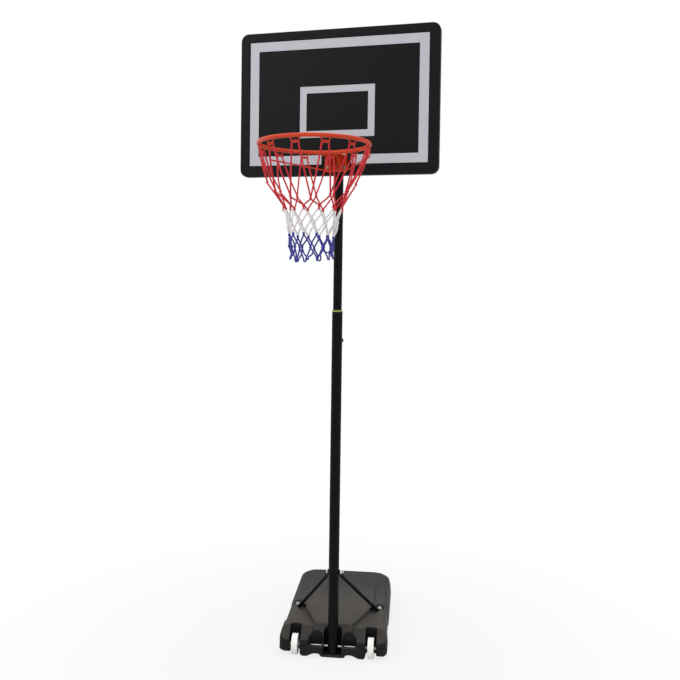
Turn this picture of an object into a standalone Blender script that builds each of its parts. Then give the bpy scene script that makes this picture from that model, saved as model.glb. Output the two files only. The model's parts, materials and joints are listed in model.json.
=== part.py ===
"""Portable basketball stand: a wheeled water-filled base, a telescoping pole, a board, a hoop and a net.

The stand faces -Y. X runs to the right, Z up, and the pole's axis meets the floor at the origin.
Every piece is its own closed solid. Sizes are in metres.
"""
import math

import bmesh
import bpy
from mathutils import Matrix, Vector

# Clearance between pieces that touch, and between a bolt and its hole
GAP = 0.0003
HOLE_CLEARANCE = 0.0003

# How far a cutter runs past the faces that it cuts, a cross hole's reach to each side of its axis,
# and the chamfer on small turned pieces
PAST = 0.02
THROUGH = 0.05
EDGE = 0.001

# Fasteners: M8 hexagon bolts and nuts
BOLT_RADIUS = 0.0040
HEX_ACROSS_FLATS = 0.0130
BOLT_HEAD_HEIGHT = 0.0053
NUT_HEIGHT = 0.0065
BOLT_END = 0.0040
HEX_SIDES = 6
BOLT_SEGMENTS = 12

# How far the base stands turned about the pole's axis. The upper pole is round and turns in the middle
# pole until the lock holds it, and the photographed stand is not set square.
BASE_TURN = math.radians(9)

# Base tank, from its front face to its rear face
TANK_FRONT = -0.030
TANK_REAR = 0.690
TANK_HALF_WIDTH_FRONT = 0.220
TANK_HALF_WIDTH_WAIST = 0.2145
TANK_HALF_WIDTH_REAR = 0.218
TANK_FIRST_STEP = 0.080
TANK_SECOND_STEP = 0.275
TANK_STEP_RUN = 0.020
TANK_FRONT_RADIUS = 0.030
TANK_REAR_RADIUS = 0.085
TANK_SHOULDER_HEIGHT = 0.108
TANK_WALL = 0.004

# The tank's side from the floor up, as (height, how far it is drawn in)
TANK_SIDE = (
    (0.000, 0.014),
    (0.010, 0.002),
    (0.035, 0.000),
    (0.075, 0.003),
    (0.098, 0.009),
    (TANK_SHOULDER_HEIGHT, 0.024),
)

# Raised deck on the tank, and the slope in front of it
DECK_HEIGHT = 0.120
DECK_FRONT = -0.030
DECK_FRONT_HALF_WIDTH = 0.0645
DECK_WIDEST = 0.215
DECK_HALF_WIDTH = 0.160
DECK_REAR = 0.615
DECK_FLANK = 0.014
DECK_ROOT = 0.006
DECK_NOSE_ROOT = 0.036
FRONT_LEDGE_HEIGHT = 0.068
SLOPE_RUN = 0.062
HEEL_RUN = 0.011
HEEL_RISE = 0.007

# Wells, slot and pockets along the tank's front
WELL_WIDTH = 0.042
WELL_CLEARANCE = 0.004
SLOT_HALF_WIDTH = 0.036
SLOT_DEPTH = 0.027
SLOT_FLOOR = 0.012
POCKET_CENTRE = 0.068
POCKET_HALF_WIDTH = 0.026
POCKET_REAR = 0.003
POCKET_ROUND = 0.015
POCKET_FRONT = -0.021
POCKET_FLOOR = 0.027
LIP_HEIGHT = 0.048
LIP_HALF_WIDTH = 0.097

# Arches under the tank's front edge, as (distance from the middle, height): one between the toe under the
# pole and each lobe, and one from each lobe out past the wheel
UNDERCUT_DEPTH = 0.048
INNER_ARCH = ((0.047, 0.000), (0.052, 0.015), (0.060, 0.018), (0.078, 0.017), (0.092, 0.011), (0.105, 0.000))
OUTER_ARCH = ((0.126, 0.000), (0.131, 0.011), (0.139, 0.020), (0.170, 0.021), (0.225, 0.023), (0.240, 0.024))

# Wheels and axle
WHEEL_RADIUS = 0.040
WHEEL_WIDTH = 0.024
WHEEL_LIFT = 0.002
WHEEL_TRACK = 0.307
WHEEL_RIM_THICKNESS = 0.006
WHEEL_WEB_THICKNESS = 0.008
WHEEL_HUB_RADIUS = 0.011
WHEEL_GROOVE_DEPTH = 0.0008
WHEEL_GROOVE_WIDTH = 0.0022
WHEEL_EDGE_ROUND = 0.002
WHEEL_SEGMENTS = 24
AXLE_RADIUS = 0.004
AXLE_LENGTH = 0.426
AXLE_CAP_RADIUS = 0.008
AXLE_CAP_THICKNESS = 0.004
AXLE_CAP_RECESS_RADIUS = 0.0105

# Pole tubes
LOWER_POLE_RADIUS = 0.021
UPPER_POLE_RADIUS = 0.0175
POLE_WALL = 0.0012
POLE_JOINT_HEIGHT = 0.333
POLE_NECK_LENGTH = 0.100
POLE_NECK_TAPER = 0.004
MIDDLE_POLE_ABOVE_LOCK = 0.118
TOP_POLE_BELOW_LOCK = 0.050
TOP_POLE_ABOVE_HOOP = 0.398
POLE_SEGMENTS = 24
BUSH_FLANGE = 0.007
BUSH_DEPTH = 0.030
BUSH_EDGE_HEIGHT = 0.002
BUSH_EDGE_DEPTH = 0.0015
PLUG_FLANGE = 0.003
PLUG_DEPTH = 0.014
GLIDE_FLANGE = 0.012

# Height lock
LOCK_HEIGHT = 1.276
HEIGHT_STEP = 0.150
HEIGHT_HOLES = 4
KNOB_RADIUS = 0.022
KNOB_LOBES = 5
KNOB_LOBE_DEPTH = 0.0035
KNOB_THICKNESS = 0.018
KNOB_EDGE = 0.0025
KNOB_STANDOFF = 0.012
KNOB_BOLT_DEPTH = 0.012

# Struts from the pole to the tank
STRUT_RADIUS = 0.0075
STRUT_TOP_HEIGHT = 0.345
STRUT_FOOT_X = 0.178
STRUT_FOOT_Y = 0.245
STRUT_FLAT_THICKNESS = 0.0035
STRUT_FLAT_HALF_WIDTH = 0.0105
STRUT_FLAT_TIP = 0.011
STRUT_FLAT_LENGTH = 0.016
STRUT_FLARE = 0.022
STRUT_SECTIONS = 12
STRUT_BOLT_THREAD = 0.008
RECESS_FLOOR = 0.100
RECESS_RADIUS = 0.021
RECESS_CHANNEL_HALF_WIDTH = 0.014
RECESS_CHANNEL_LENGTH = 0.062
WASHER_RADIUS = 0.010
WASHER_THICKNESS = 0.0015
INSERT_RADIUS = 0.008
INSERT_LENGTH = 0.020
INSERT_WALL = 0.004
DIMPLE_X = 0.188
DIMPLE_Y = 0.160
DIMPLE_RADIUS = 0.011
DIMPLE_DEPTH = 0.003
DIMPLE_STRETCH = 0.6

# Filler plug in the tank's rear face
FILLER_HEIGHT = 0.066
FILLER_BORE_RADIUS = 0.018
FILLER_BOSS_RADIUS = 0.028
FILLER_BOSS_PROUD = 0.003
FILLER_NECK_LENGTH = 0.022
FILLER_PLUG_DEPTH = 0.014
FILLER_FLANGE_RADIUS = 0.025
FILLER_FLANGE_THICKNESS = 0.005
FILLER_GRIP_RADIUS = 0.014
FILLER_GRIP_HEIGHT = 0.010
GASKET_THICKNESS = 0.002
GASKET_WIDTH = 0.005

# Board
BOARD_WIDTH = 0.800
BOARD_HEIGHT = 0.570
BOARD_BELOW_HOOP = 0.072
BOARD_DEPTH = 0.030
BOARD_CORNER_RADIUS = 0.030
BOARD_LEAST_RADIUS = 0.003
BOARD_FACE_Y = -0.050
BOARD_PANEL_THICKNESS = 0.004
BOARD_FRAME_WIDTH = 0.036
BOARD_FRAME_PROUD = 0.002
BOARD_EDGE_CHAMFER = 0.005
BOARD_SIDE_WALL = 0.003
BOARD_RIB_DEPTH = 0.010
BOARD_RIB_THICKNESS = 0.003
BOARD_CENTRE_COLUMN = 0.130
BOARD_SIDE_COLUMNS = 2
BOARD_ROWS = 4
BOARD_CORNER_SEGMENTS = 5
BRACKET_PAD_HALF_WIDTH = 0.056
BRACKET_PAD_MARGIN = 0.007

# Stripes on the board
STRIPE_THICKNESS = 0.0005
BORDER_SIDE_MARGIN = 0.0414
BORDER_TOP_MARGIN = 0.0379
BORDER_BOTTOM_MARGIN = 0.0436
BORDER_WIDTH = 0.0363
BORDER_BREAK = 0.120
TARGET_WIDTH = 0.300
TARGET_HEIGHT = 0.200
TARGET_BAND = 0.0263
TARGET_RISE = 0.149

# Hoop
RIM_INNER_DIAMETER = 0.378
RIM_ROD_DIAMETER = 0.015
RIM_HEIGHT = 2.002
RIM_BOARD_GAP = 0.110
RIM_SEGMENTS = 48
RIM_ROD_SEGMENTS = 8
HOOK_COUNT = 12
HOOK_FIRST_ANGLE = -3.0
HOOK_ROOT_WIDTH = 0.035
HOOK_BAR_WIDTH = 0.021
HOOK_DROP = 0.016
HOOK_WIRE_RADIUS = 0.002
HOOK_WIRE_SIDES = 5

# Hoop bracket on the board, and its braces
BRACKET_HALF_WIDTH = 0.045
BRACKET_BELOW_HOOP = 0.060
BRACKET_ABOVE_HOOP = 0.023
BRACKET_SHEET = 0.003
TONGUE_HALF_WIDTH = 0.040
TONGUE_FLARE = 0.003
GUSSET_REACH = 0.085
GUSSET_TIP = 0.006
GUSSET_HALF_SPACING = 0.0235
BRACKET_BOLT_X = 0.034
BRACKET_BOLT_LOW = 0.018
BRACKET_BOLT_RISE = 0.050
BRACE_RADIUS = 0.003
BRACE_ANGLE = 108.0
BRACE_DROP = 0.034
BRACE_BEND = 0.010
BRACE_LAP = 0.012
BRACE_FOOT_RISE = 0.008
BRACE_SIDES = 8

# Saddles that hold the board on the pole
SADDLE_HALF_WIDTH = 0.050
SADDLE_SHEET = 0.003
SADDLE_EAR_CLEARANCE = 0.0005
SADDLE_EAR_MARGIN = 0.013
SADDLE_EAR_BACK = 0.012
UPPER_SADDLE_ABOVE_HOOP = 0.325
UPPER_SADDLE_TALL = 0.070
BOSS_PROUD = 0.001
BOSS_RADIUS = 0.007
BOSS_ROOT = 0.002
SCREW_RADIUS = 0.0022
SCREW_LENGTH = 0.008
SCREW_HEAD_RADIUS = 0.0045
SCREW_HEAD_HEIGHT = 0.003

# Net: one row of knots per entry, as (share of the net's length, share of the hoop's radius)
NET_LENGTH = 0.412
NET_CORD_RADIUS = 0.0026
NET_KNOT_WIDTH = 0.0096
NET_KNOT_HEIGHT = 0.0110
NET_KNOT_SWELL = 1.30
NET_ROWS = (
    (0.425, 0.700),
    (0.547, 0.536),
    (0.663, 0.490),
    (0.780, 0.454),
    (0.881, 0.438),
    (1.000, 0.418),
)

# Values that follow from the sizes above
MIDDLE_POLE_TOP = LOCK_HEIGHT + MIDDLE_POLE_ABOVE_LOCK
TOP_POLE_BOTTOM = LOCK_HEIGHT - TOP_POLE_BELOW_LOCK
TOP_POLE_TOP = RIM_HEIGHT + TOP_POLE_ABOVE_HOOP
BOARD_BOTTOM = RIM_HEIGHT - BOARD_BELOW_HOOP
BRACKET_BOTTOM = RIM_HEIGHT - BRACKET_BELOW_HOOP
BRACKET_TOP = RIM_HEIGHT + BRACKET_ABOVE_HOOP
BRACKET_PAD_TOP = BRACKET_TOP + BRACKET_PAD_MARGIN
UPPER_SADDLE_HEIGHT = RIM_HEIGHT + UPPER_SADDLE_ABOVE_HOOP
WHEEL_AXIS_HEIGHT = WHEEL_RADIUS + WHEEL_LIFT
POLE_INNER_RADIUS = LOWER_POLE_RADIUS - POLE_WALL
TOP_POLE_INNER_RADIUS = UPPER_POLE_RADIUS - POLE_WALL
NECK_RADIUS = POLE_INNER_RADIUS - GAP
BOARD_FRONT_Y = BOARD_FACE_Y - BOARD_FRAME_PROUD
BOARD_BACK_Y = BOARD_FRONT_Y + BOARD_DEPTH
PANEL_BACK_Y = BOARD_FACE_Y + BOARD_PANEL_THICKNESS
BRACKET_BACK_Y = BOARD_FRONT_Y - GAP
BRACKET_FRONT_Y = BRACKET_BACK_Y - BRACKET_SHEET
RIM_ROD_RADIUS = RIM_ROD_DIAMETER / 2
RIM_RADIUS = (RIM_INNER_DIAMETER + RIM_ROD_DIAMETER) / 2
RIM_CENTRE_Y = BOARD_FACE_Y - RIM_BOARD_GAP - RIM_ROD_RADIUS - RIM_RADIUS
HOOK_BAR_HEIGHT = RIM_HEIGHT - RIM_ROD_RADIUS - HOOK_DROP
NET_SEAT_RADIUS = RIM_RADIUS - HOOK_WIRE_RADIUS - NET_CORD_RADIUS - GAP
LOWER_SADDLE_BACK_Y = PANEL_BACK_Y + GAP + SADDLE_SHEET
BOSS_HEIGHT = BOARD_RIB_DEPTH + BOSS_PROUD
UPPER_SADDLE_FRONT_Y = PANEL_BACK_Y + BOSS_HEIGHT + GAP
UPPER_SADDLE_BACK_Y = UPPER_SADDLE_FRONT_Y + SADDLE_SHEET
BRACKET_BOLT_HEIGHTS = (
    BRACKET_BOTTOM + BRACKET_BOLT_LOW,
    BRACKET_BOTTOM + BRACKET_BOLT_LOW + BRACKET_BOLT_RISE,
)
LOWER_SADDLE_HEIGHT = sum(BRACKET_BOLT_HEIGHTS) / 2
FILLER_FACE_Y = TANK_REAR + FILLER_BOSS_PROUD
STRUT_FLAT_INNER_X = LOWER_POLE_RADIUS + GAP
STRUT_FLAT_OUTER_X = STRUT_FLAT_INNER_X + STRUT_FLAT_THICKNESS
STRUT_FOOT_HEIGHT = RECESS_FLOOR + GAP + STRUT_FLAT_THICKNESS / 2

SIDES = (("left", -1), ("right", 1))


# Materials

def material(name, colour, roughness, metallic=0.0):
    """Return the named Principled material, made on first use."""
    found = bpy.data.materials.get(name)
    if found:
        return found
    made = bpy.data.materials.new(name)
    made.use_nodes = True
    shader = made.node_tree.nodes["Principled BSDF"]
    shader.inputs["Base Color"].default_value = (*colour, 1.0)
    shader.inputs["Roughness"].default_value = roughness
    shader.inputs["Metallic"].default_value = metallic
    made.diffuse_color = (*colour, 1.0)
    return made


def tank_plastic():
    return material("tank_plastic", (0.075, 0.073, 0.072), 0.55)


def black_plastic():
    return material("black_plastic", (0.016, 0.016, 0.017), 0.50)


def black_steel():
    return material("black_steel", (0.012, 0.012, 0.013), 0.35)


def zinc_steel():
    return material("zinc_steel", (0.72, 0.73, 0.74), 0.30, 1.0)


def orange_steel():
    return material("orange_steel", (0.62, 0.060, 0.012), 0.38)


def white_plastic():
    return material("white_plastic", (0.82, 0.81, 0.79), 0.45)


def lime_plastic():
    return material("lime_plastic", (0.45, 0.47, 0.07), 0.45)


def grey_print():
    return material("grey_print", (0.52, 0.52, 0.55), 0.50)


def black_rubber():
    return material("black_rubber", (0.02, 0.02, 0.02), 0.80)


def net_cord():
    return material("net_cord", (0.80, 0.79, 0.78), 0.85)


def water():
    return material("water", (0.30, 0.45, 0.50), 0.10)


# Shapes: each is a pair of vertex and face lists, which place() moves

def box(low, high):
    """A block between two opposite corners."""
    xs, ys, zs = zip(low, high)
    points = [(x, y, z) for z in zs for y in ys for x in xs]
    faces = [(0, 2, 3, 1), (4, 5, 7, 6), (0, 1, 5, 4), (2, 6, 7, 3), (0, 4, 6, 2), (1, 3, 7, 5)]
    return points, faces


def loft(rings, closed=False):
    """Skin a list of equal rings of points; the two ends are capped unless the rings close on themselves."""
    count = len(rings[0])
    points = [tuple(point) for ring in rings for point in ring]
    faces = []
    spans = len(rings) if closed else len(rings) - 1
    for span in range(spans):
        first = span * count
        second = ((span + 1) % len(rings)) * count
        for step in range(count):
            after = (step + 1) % count
            faces.append((first + step, first + after, second + after, second + step))
    if not closed:
        faces.append(tuple(range(count)))
        faces.append(tuple(len(points) - count + step for step in range(count)))
    return points, faces


def ring_distance(radius, sides, angle):
    """Distance from the axis at an angle: round when sides is 0, otherwise radius is to each flat."""
    if not sides:
        return radius
    flat = 2 * math.pi / sides
    return radius / math.cos((angle + flat / 2) % flat - flat / 2)


def lathe(profile, segments, closed=False):
    """Turn (radius, height) or (radius, height, sides) points about Z into a solid or, closed, a ring."""
    rings = []
    for radius, height, *shape in profile:
        sides = shape[0] if shape else 0
        angles = [2 * math.pi * step / segments for step in range(segments)]
        reach = [ring_distance(radius, sides, angle) for angle in angles]
        rings.append([(r * math.cos(a), r * math.sin(a), height) for r, a in zip(reach, angles)])
    return loft(rings, closed)


def cylinder(radius, bottom, top, segments=BOLT_SEGMENTS):
    return lathe([(radius, bottom), (radius, top)], segments)


def prism(outline, bottom, top):
    """Extrude a flat outline of (x, y) points between two heights."""
    return loft([[(x, y, height) for x, y in outline] for height in (bottom, top)])


def framed_prism(outer, inner, bottom, top):
    """Extrude the band between two outlines with the same number of points."""
    rings = [
        [(x, y, height) for x, y in outline]
        for outline, height in ((outer, bottom), (outer, top), (inner, top), (inner, bottom))
    ]
    return loft(rings, closed=True)


def place(shape, location=(0, 0, 0), rotation=None):
    """Return the shape turned by a matrix and then moved."""
    turn = rotation or Matrix.Identity(3)
    moved = [tuple(turn @ Vector(point) + Vector(location)) for point in shape[0]]
    return moved, shape[1]


def together(shapes):
    """Collect separate shapes into one, for a cutter that works in several places."""
    points = []
    faces = []
    for shape_points, shape_faces in shapes:
        offset = len(points)
        points.extend(shape_points)
        faces.extend(tuple(index + offset for index in face) for face in shape_faces)
    return points, faces


# Turns that carry a shape's own +Z to another axis
TO_X = Matrix.Rotation(math.radians(90), 3, "Y")
TO_MINUS_X = Matrix.Rotation(math.radians(-90), 3, "Y")
TO_Y = Matrix.Rotation(math.radians(-90), 3, "X")
TO_MINUS_Y = Matrix.Rotation(math.radians(90), 3, "X")


# Objects

def make(name, shape, look, location=(0, 0, 0), rotation=None, parent=None, smooth=True):
    """Make an object from a shape given about its own origin, and put it in place."""
    mesh = bpy.data.meshes.new(name)
    mesh.from_pydata(shape[0], [], shape[1])
    solid = bmesh.new()
    solid.from_mesh(mesh)
    bmesh.ops.recalc_face_normals(solid, faces=solid.faces)
    solid.to_mesh(mesh)
    solid.free()
    if smooth:
        mesh.shade_smooth()
        mesh.set_sharp_from_angle(angle=math.radians(35))
    if look:
        mesh.materials.append(look)
    made = bpy.data.objects.new(name, mesh)
    bpy.context.scene.collection.objects.link(made)
    turn = (rotation or Matrix.Identity(3)).to_4x4()
    made.matrix_world = Matrix.Translation(location) @ turn
    if parent:
        made.parent = parent
        made.matrix_parent_inverse = Matrix.Translation(parent.location).inverted()
    return made


def combine(target, operation, name, shape, location=(0, 0, 0), rotation=None):
    """Add a Boolean step to an object, with a hidden operand in the same group."""
    operand = make(name, shape, None, location, rotation, target.parent, smooth=False)
    operand.hide_render = True
    operand.display_type = "WIRE"
    step = target.modifiers.new(name, "BOOLEAN")
    step.operation = operation
    step.object = operand
    return operand


def cut(target, name, shape, location=(0, 0, 0), rotation=None):
    return combine(target, "DIFFERENCE", name, shape, location, rotation)


def fuse(target, name, shape, location=(0, 0, 0), rotation=None):
    return combine(target, "UNION", name, shape, location, rotation)


def group(name, location, parent=None):
    """An empty that carries the pieces of one moving group."""
    empty = bpy.data.objects.new(name, None)
    bpy.context.scene.collection.objects.link(empty)
    empty.location = location
    if parent:
        empty.parent = parent
    return empty


# Outlines

def arc(centre, radius, start, end, segments):
    """Points on an arc, with the angles in degrees. A pair as radius gives an ellipse."""
    wide, deep = radius if isinstance(radius, tuple) else (radius, radius)
    points = []
    for step in range(segments + 1):
        angle = math.radians(start + (end - start) * step / segments)
        points.append((centre[0] + wide * math.cos(angle), centre[1] + deep * math.sin(angle)))
    return points


def rounded_rectangle(half_width, low, high, radius, segments):
    """A rectangle about X = 0 with round corners, counter-clockwise from its lower right."""
    near = half_width - radius
    points = arc((near, low + radius), radius, -90, 0, segments)
    points += arc((near, high - radius), radius, 0, 90, segments)
    points += arc((-near, high - radius), radius, 90, 180, segments)
    points += arc((-near, low + radius), radius, 180, 270, segments)
    return points


def mirrored(right_side):
    """Close an outline from the points of its right side, listed from front to rear."""
    return right_side + [(-x, y) for x, y in reversed(right_side)]


def tank_outline(inset):
    """The tank's plan, drawn in by an inset."""
    front_radius = max(TANK_FRONT_RADIUS - inset, TANK_WALL)
    rear_radius = TANK_REAR_RADIUS - inset
    front = TANK_FRONT + inset
    rear = TANK_REAR - inset
    wide = TANK_HALF_WIDTH_FRONT - inset
    waist = TANK_HALF_WIDTH_WAIST - inset
    broad = TANK_HALF_WIDTH_REAR - inset
    right = arc((wide - front_radius, front + front_radius), front_radius, -90, 0, 5)
    right.append((wide, TANK_FIRST_STEP))
    right.append((waist, TANK_FIRST_STEP + TANK_STEP_RUN))
    right.append((waist, TANK_SECOND_STEP))
    right.append((broad, TANK_SECOND_STEP + TANK_STEP_RUN))
    right += arc((broad - rear_radius, rear - rear_radius), rear_radius, 0, 90, 7)
    return mirrored(right)


def deck_outline(inset):
    """The raised deck's plan, its flanks and its rear drawn in by an inset."""
    chamfer = DECK_HALF_WIDTH / 3
    corner = inset * math.tan(math.radians(22.5))
    return mirrored([
        (DECK_FRONT_HALF_WIDTH - inset, DECK_FRONT),
        (DECK_HALF_WIDTH - inset, DECK_WIDEST),
        (DECK_HALF_WIDTH - inset, DECK_REAR - chamfer - corner),
        (DECK_HALF_WIDTH - chamfer - corner, DECK_REAR - inset),
    ])


# Where each strut's foot channel runs, from its bolt towards the pole

def strut_heading(side):
    """Unit direction in plan from a strut's foot bolt towards its top end."""
    return Vector((side * STRUT_FLAT_OUTER_X - side * STRUT_FOOT_X, -STRUT_FOOT_Y)).normalized()


def recess_outline(side, grow=0.0):
    """A strut's recess: round at the bolt, then a narrower channel towards the pole."""
    along = strut_heading(side)
    across = Vector((-along.y, along.x))
    foot = Vector((side * STRUT_FOOT_X, STRUT_FOOT_Y))
    radius = RECESS_RADIUS + grow
    channel = RECESS_CHANNEL_HALF_WIDTH + grow
    opening = math.degrees(math.asin(channel / radius))
    local = arc((0, 0), radius, opening, 360 - opening, 12)
    local += [(RECESS_CHANNEL_LENGTH + grow, -channel), (RECESS_CHANNEL_LENGTH + grow, channel)]
    return [tuple(foot + along * x + across * y) for x, y in local]


# Base

def cavity_steps(shrink):
    """The tank's inside: a body, then what is added to it and taken from it. Shrink draws its faces in."""
    inner = TANK_WALL + shrink
    well_back = WHEEL_RADIUS + WELL_CLEARANCE + TANK_WALL + shrink
    top = RECESS_FLOOR - inner
    floor_inset = TANK_SIDE[0][1]
    heel_height, heel_inset = TANK_SIDE[1]
    top_inset = TANK_SIDE[4][1]
    levels = ((inner, floor_inset), (inner + heel_height, heel_inset), (top, top_inset))
    rings = []
    for height, inset in levels:
        outline = tank_outline(inset + inner)
        rings.append([(x, max(y, well_back), height) for x, y in outline])
    deck_rings = []
    for height, inset in ((top - DECK_ROOT, 0), (DECK_HEIGHT - inner, DECK_FLANK)):
        outline = deck_outline(inset + inner)
        deck_rings.append([(x, max(y, SLOPE_RUN + inner), height) for x, y in outline])
    neck = cylinder(FILLER_BORE_RADIUS + TANK_WALL + shrink, -FILLER_NECK_LENGTH, PAST, 24)
    neck = place(neck, (0, TANK_REAR, FILLER_HEIGHT), TO_Y)
    recesses = []
    for _, side in SIDES:
        outline = recess_outline(side, TANK_WALL + shrink)
        recesses.append(prism(outline, RECESS_FLOOR - inner - GAP, DECK_HEIGHT))
    bosses = []
    for _, side in SIDES:
        radius = INSERT_RADIUS + INSERT_WALL + shrink
        boss = cylinder(radius, RECESS_FLOOR - INSERT_LENGTH - inner, DECK_HEIGHT, 12)
        bosses.append(place(boss, (side * STRUT_FOOT_X, STRUT_FOOT_Y, 0)))
    return loft(rings), loft(deck_rings), neck, together(recesses), together(bosses)


def shape_cavity(target, prefix, shrink):
    """Finish a cavity body with its deck space, its filler neck and the recesses above it."""
    _, deck, neck, recesses, bosses = cavity_steps(shrink)
    fuse(target, prefix + "_deck", deck)
    cut(target, prefix + "_neck", neck)
    cut(target, prefix + "_recesses", recesses)
    cut(target, prefix + "_bosses", bosses)


def front_slope(lift):
    """What is cut away above the slope at the tank's front, or above a slope lifted over it."""
    slope = [
        (TANK_FRONT - PAST, FRONT_LEDGE_HEIGHT + lift),
        (TANK_FRONT, FRONT_LEDGE_HEIGHT + lift),
        (TANK_FRONT + SLOPE_RUN, TANK_SHOULDER_HEIGHT + lift),
        (TANK_FRONT + SLOPE_RUN + PAST, DECK_HEIGHT + PAST),
        (TANK_FRONT - PAST, DECK_HEIGHT + PAST),
    ]
    points, faces = prism(slope, -TANK_HALF_WIDTH_FRONT - PAST, TANK_HALF_WIDTH_FRONT + PAST)
    return [(z, x, y) for x, y, z in points], faces


def front_heel():
    """What is cut away below the bevel along the foot of the tank's front."""
    bevel = [
        (TANK_FRONT - PAST, -PAST),
        (TANK_FRONT + HEEL_RUN, -PAST),
        (TANK_FRONT + HEEL_RUN, 0),
        (TANK_FRONT, HEEL_RISE),
        (TANK_FRONT - PAST, HEEL_RISE),
    ]
    points, faces = prism(bevel, -TANK_HALF_WIDTH_FRONT - PAST, TANK_HALF_WIDTH_FRONT + PAST)
    return [(z, x, y) for x, y, z in points], faces


def undercut(side, arch):
    """What is cut from under the tank's front edge on one side."""
    (first, _), (last, _) = arch[0], arch[-1]
    outline = [(side * x, z) for x, z in ((last, -PAST), (first, -PAST)) + arch]
    points, faces = prism(outline, -TANK_FRONT - UNDERCUT_DEPTH, -TANK_FRONT + PAST)
    return [(x, -z, y) for x, y, z in points], faces


def make_tank(base):
    rings = [[(x, y, height) for x, y in tank_outline(inset)] for height, inset in TANK_SIDE]
    tank = make("base_tank", loft(rings), tank_plastic(), parent=base)
    boss = cylinder(FILLER_BOSS_RADIUS, -TANK_REAR_RADIUS / 2, FILLER_BOSS_PROUD, 24)
    fuse(tank, "tank_filler_boss", boss, (0, TANK_REAR, FILLER_HEIGHT), TO_Y)
    cut(tank, "tank_slope", front_slope(0.0))
    cut(tank, "tank_heel", front_heel())

    root = TANK_SHOULDER_HEIGHT - DECK_ROOT
    grow = DECK_FLANK / (DECK_HEIGHT - root)
    deck_levels = ((root - DECK_NOSE_ROOT, -grow * DECK_NOSE_ROOT), (DECK_HEIGHT, DECK_FLANK))
    deck = [[(x, y, height) for x, y in deck_outline(inset)] for height, inset in deck_levels]
    deck = fuse(tank, "tank_deck", loft(deck))
    cut(deck, "deck_slope", front_slope(DECK_HEIGHT - TANK_SHOULDER_HEIGHT))

    wells = []
    for _, side in SIDES:
        centre = side * WHEEL_TRACK / 2
        low = (centre - WELL_WIDTH / 2, TANK_FRONT - PAST, -PAST)
        high = (centre + WELL_WIDTH / 2, WHEEL_RADIUS + WELL_CLEARANCE, DECK_HEIGHT + PAST)
        wells.append(box(low, high))
    cut(tank, "tank_wheel_wells", together(wells))

    ellipse = arc((0, 0), (SLOT_HALF_WIDTH, SLOT_DEPTH), 0, 180, 12)
    slot = [(SLOT_HALF_WIDTH, TANK_FRONT - PAST)] + ellipse + [(-SLOT_HALF_WIDTH, TANK_FRONT - PAST)]
    cut(tank, "tank_pole_slot", prism(slot, SLOT_FLOOR, DECK_HEIGHT + PAST))

    pockets = []
    arches = []
    for _, side in SIDES:
        back = arc((0, POCKET_REAR - POCKET_ROUND), (POCKET_HALF_WIDTH, POCKET_ROUND), 0, 180, 8)
        outline = [(POCKET_HALF_WIDTH, POCKET_FRONT)] + back + [(-POCKET_HALF_WIDTH, POCKET_FRONT)]
        pocket = prism(outline, POCKET_FLOOR, DECK_HEIGHT + PAST)
        pockets.append(place(pocket, (side * POCKET_CENTRE, 0, 0)))
        arches += [undercut(side, INNER_ARCH), undercut(side, OUTER_ARCH)]
    cut(tank, "tank_pockets", together(pockets))
    cut(tank, "tank_arches", together(arches))
    lip_low = (-LIP_HALF_WIDTH, TANK_FRONT - PAST, LIP_HEIGHT)
    cut(tank, "tank_lip", box(lip_low, (LIP_HALF_WIDTH, POCKET_FRONT + GAP, DECK_HEIGHT + PAST)))

    bore = cylinder(AXLE_RADIUS + HOLE_CLEARANCE, -AXLE_LENGTH, AXLE_LENGTH, 12)
    cut(tank, "tank_axle_bore", bore, (0, 0, WHEEL_AXIS_HEIGHT), TO_X)
    recesses = []
    for _, side in SIDES:
        recess = cylinder(AXLE_CAP_RECESS_RADIUS, AXLE_LENGTH / 2 - AXLE_CAP_THICKNESS - GAP, AXLE_LENGTH, 12)
        turn = TO_X if side > 0 else TO_MINUS_X
        recesses.append(place(recess, (0, 0, WHEEL_AXIS_HEIGHT), turn))
    cut(tank, "tank_axle_recesses", together(recesses))

    channels = together([prism(recess_outline(side), RECESS_FLOOR, DECK_HEIGHT + PAST) for _, side in SIDES])
    cut(tank, "tank_strut_recesses", channels)
    holes = []
    for _, side in SIDES:
        hole = cylinder(INSERT_RADIUS + GAP, RECESS_FLOOR - INSERT_LENGTH - GAP, DECK_HEIGHT + PAST, 12)
        holes.append(place(hole, (side * STRUT_FOOT_X, STRUT_FOOT_Y, 0)))
    cut(tank, "tank_insert_holes", together(holes))
    dimples = []
    for _, side in SIDES:
        dimple = cylinder(DIMPLE_RADIUS, TANK_SHOULDER_HEIGHT - DIMPLE_DEPTH, DECK_HEIGHT + PAST, 14)
        stretched = [(x * DIMPLE_STRETCH, y, z) for x, y, z in dimple[0]]
        dimples.append(place((stretched, dimple[1]), (side * DIMPLE_X, DIMPLE_Y, 0)))
    cut(tank, "tank_dimples", together(dimples))

    body = cavity_steps(0.0)[0]
    cavity = cut(tank, "tank_cavity", body)
    shape_cavity(cavity, "cavity", 0.0)
    filler = cylinder(FILLER_BORE_RADIUS, -FILLER_NECK_LENGTH - TANK_WALL, FILLER_BOSS_PROUD + PAST, 24)
    cut(tank, "tank_filler_bore", filler, (0, TANK_REAR, FILLER_HEIGHT), TO_Y)
    return tank


def make_water(base):
    fill = make("water_fill", cavity_steps(GAP)[0], water(), parent=base)
    shape_cavity(fill, "water", GAP)


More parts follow.
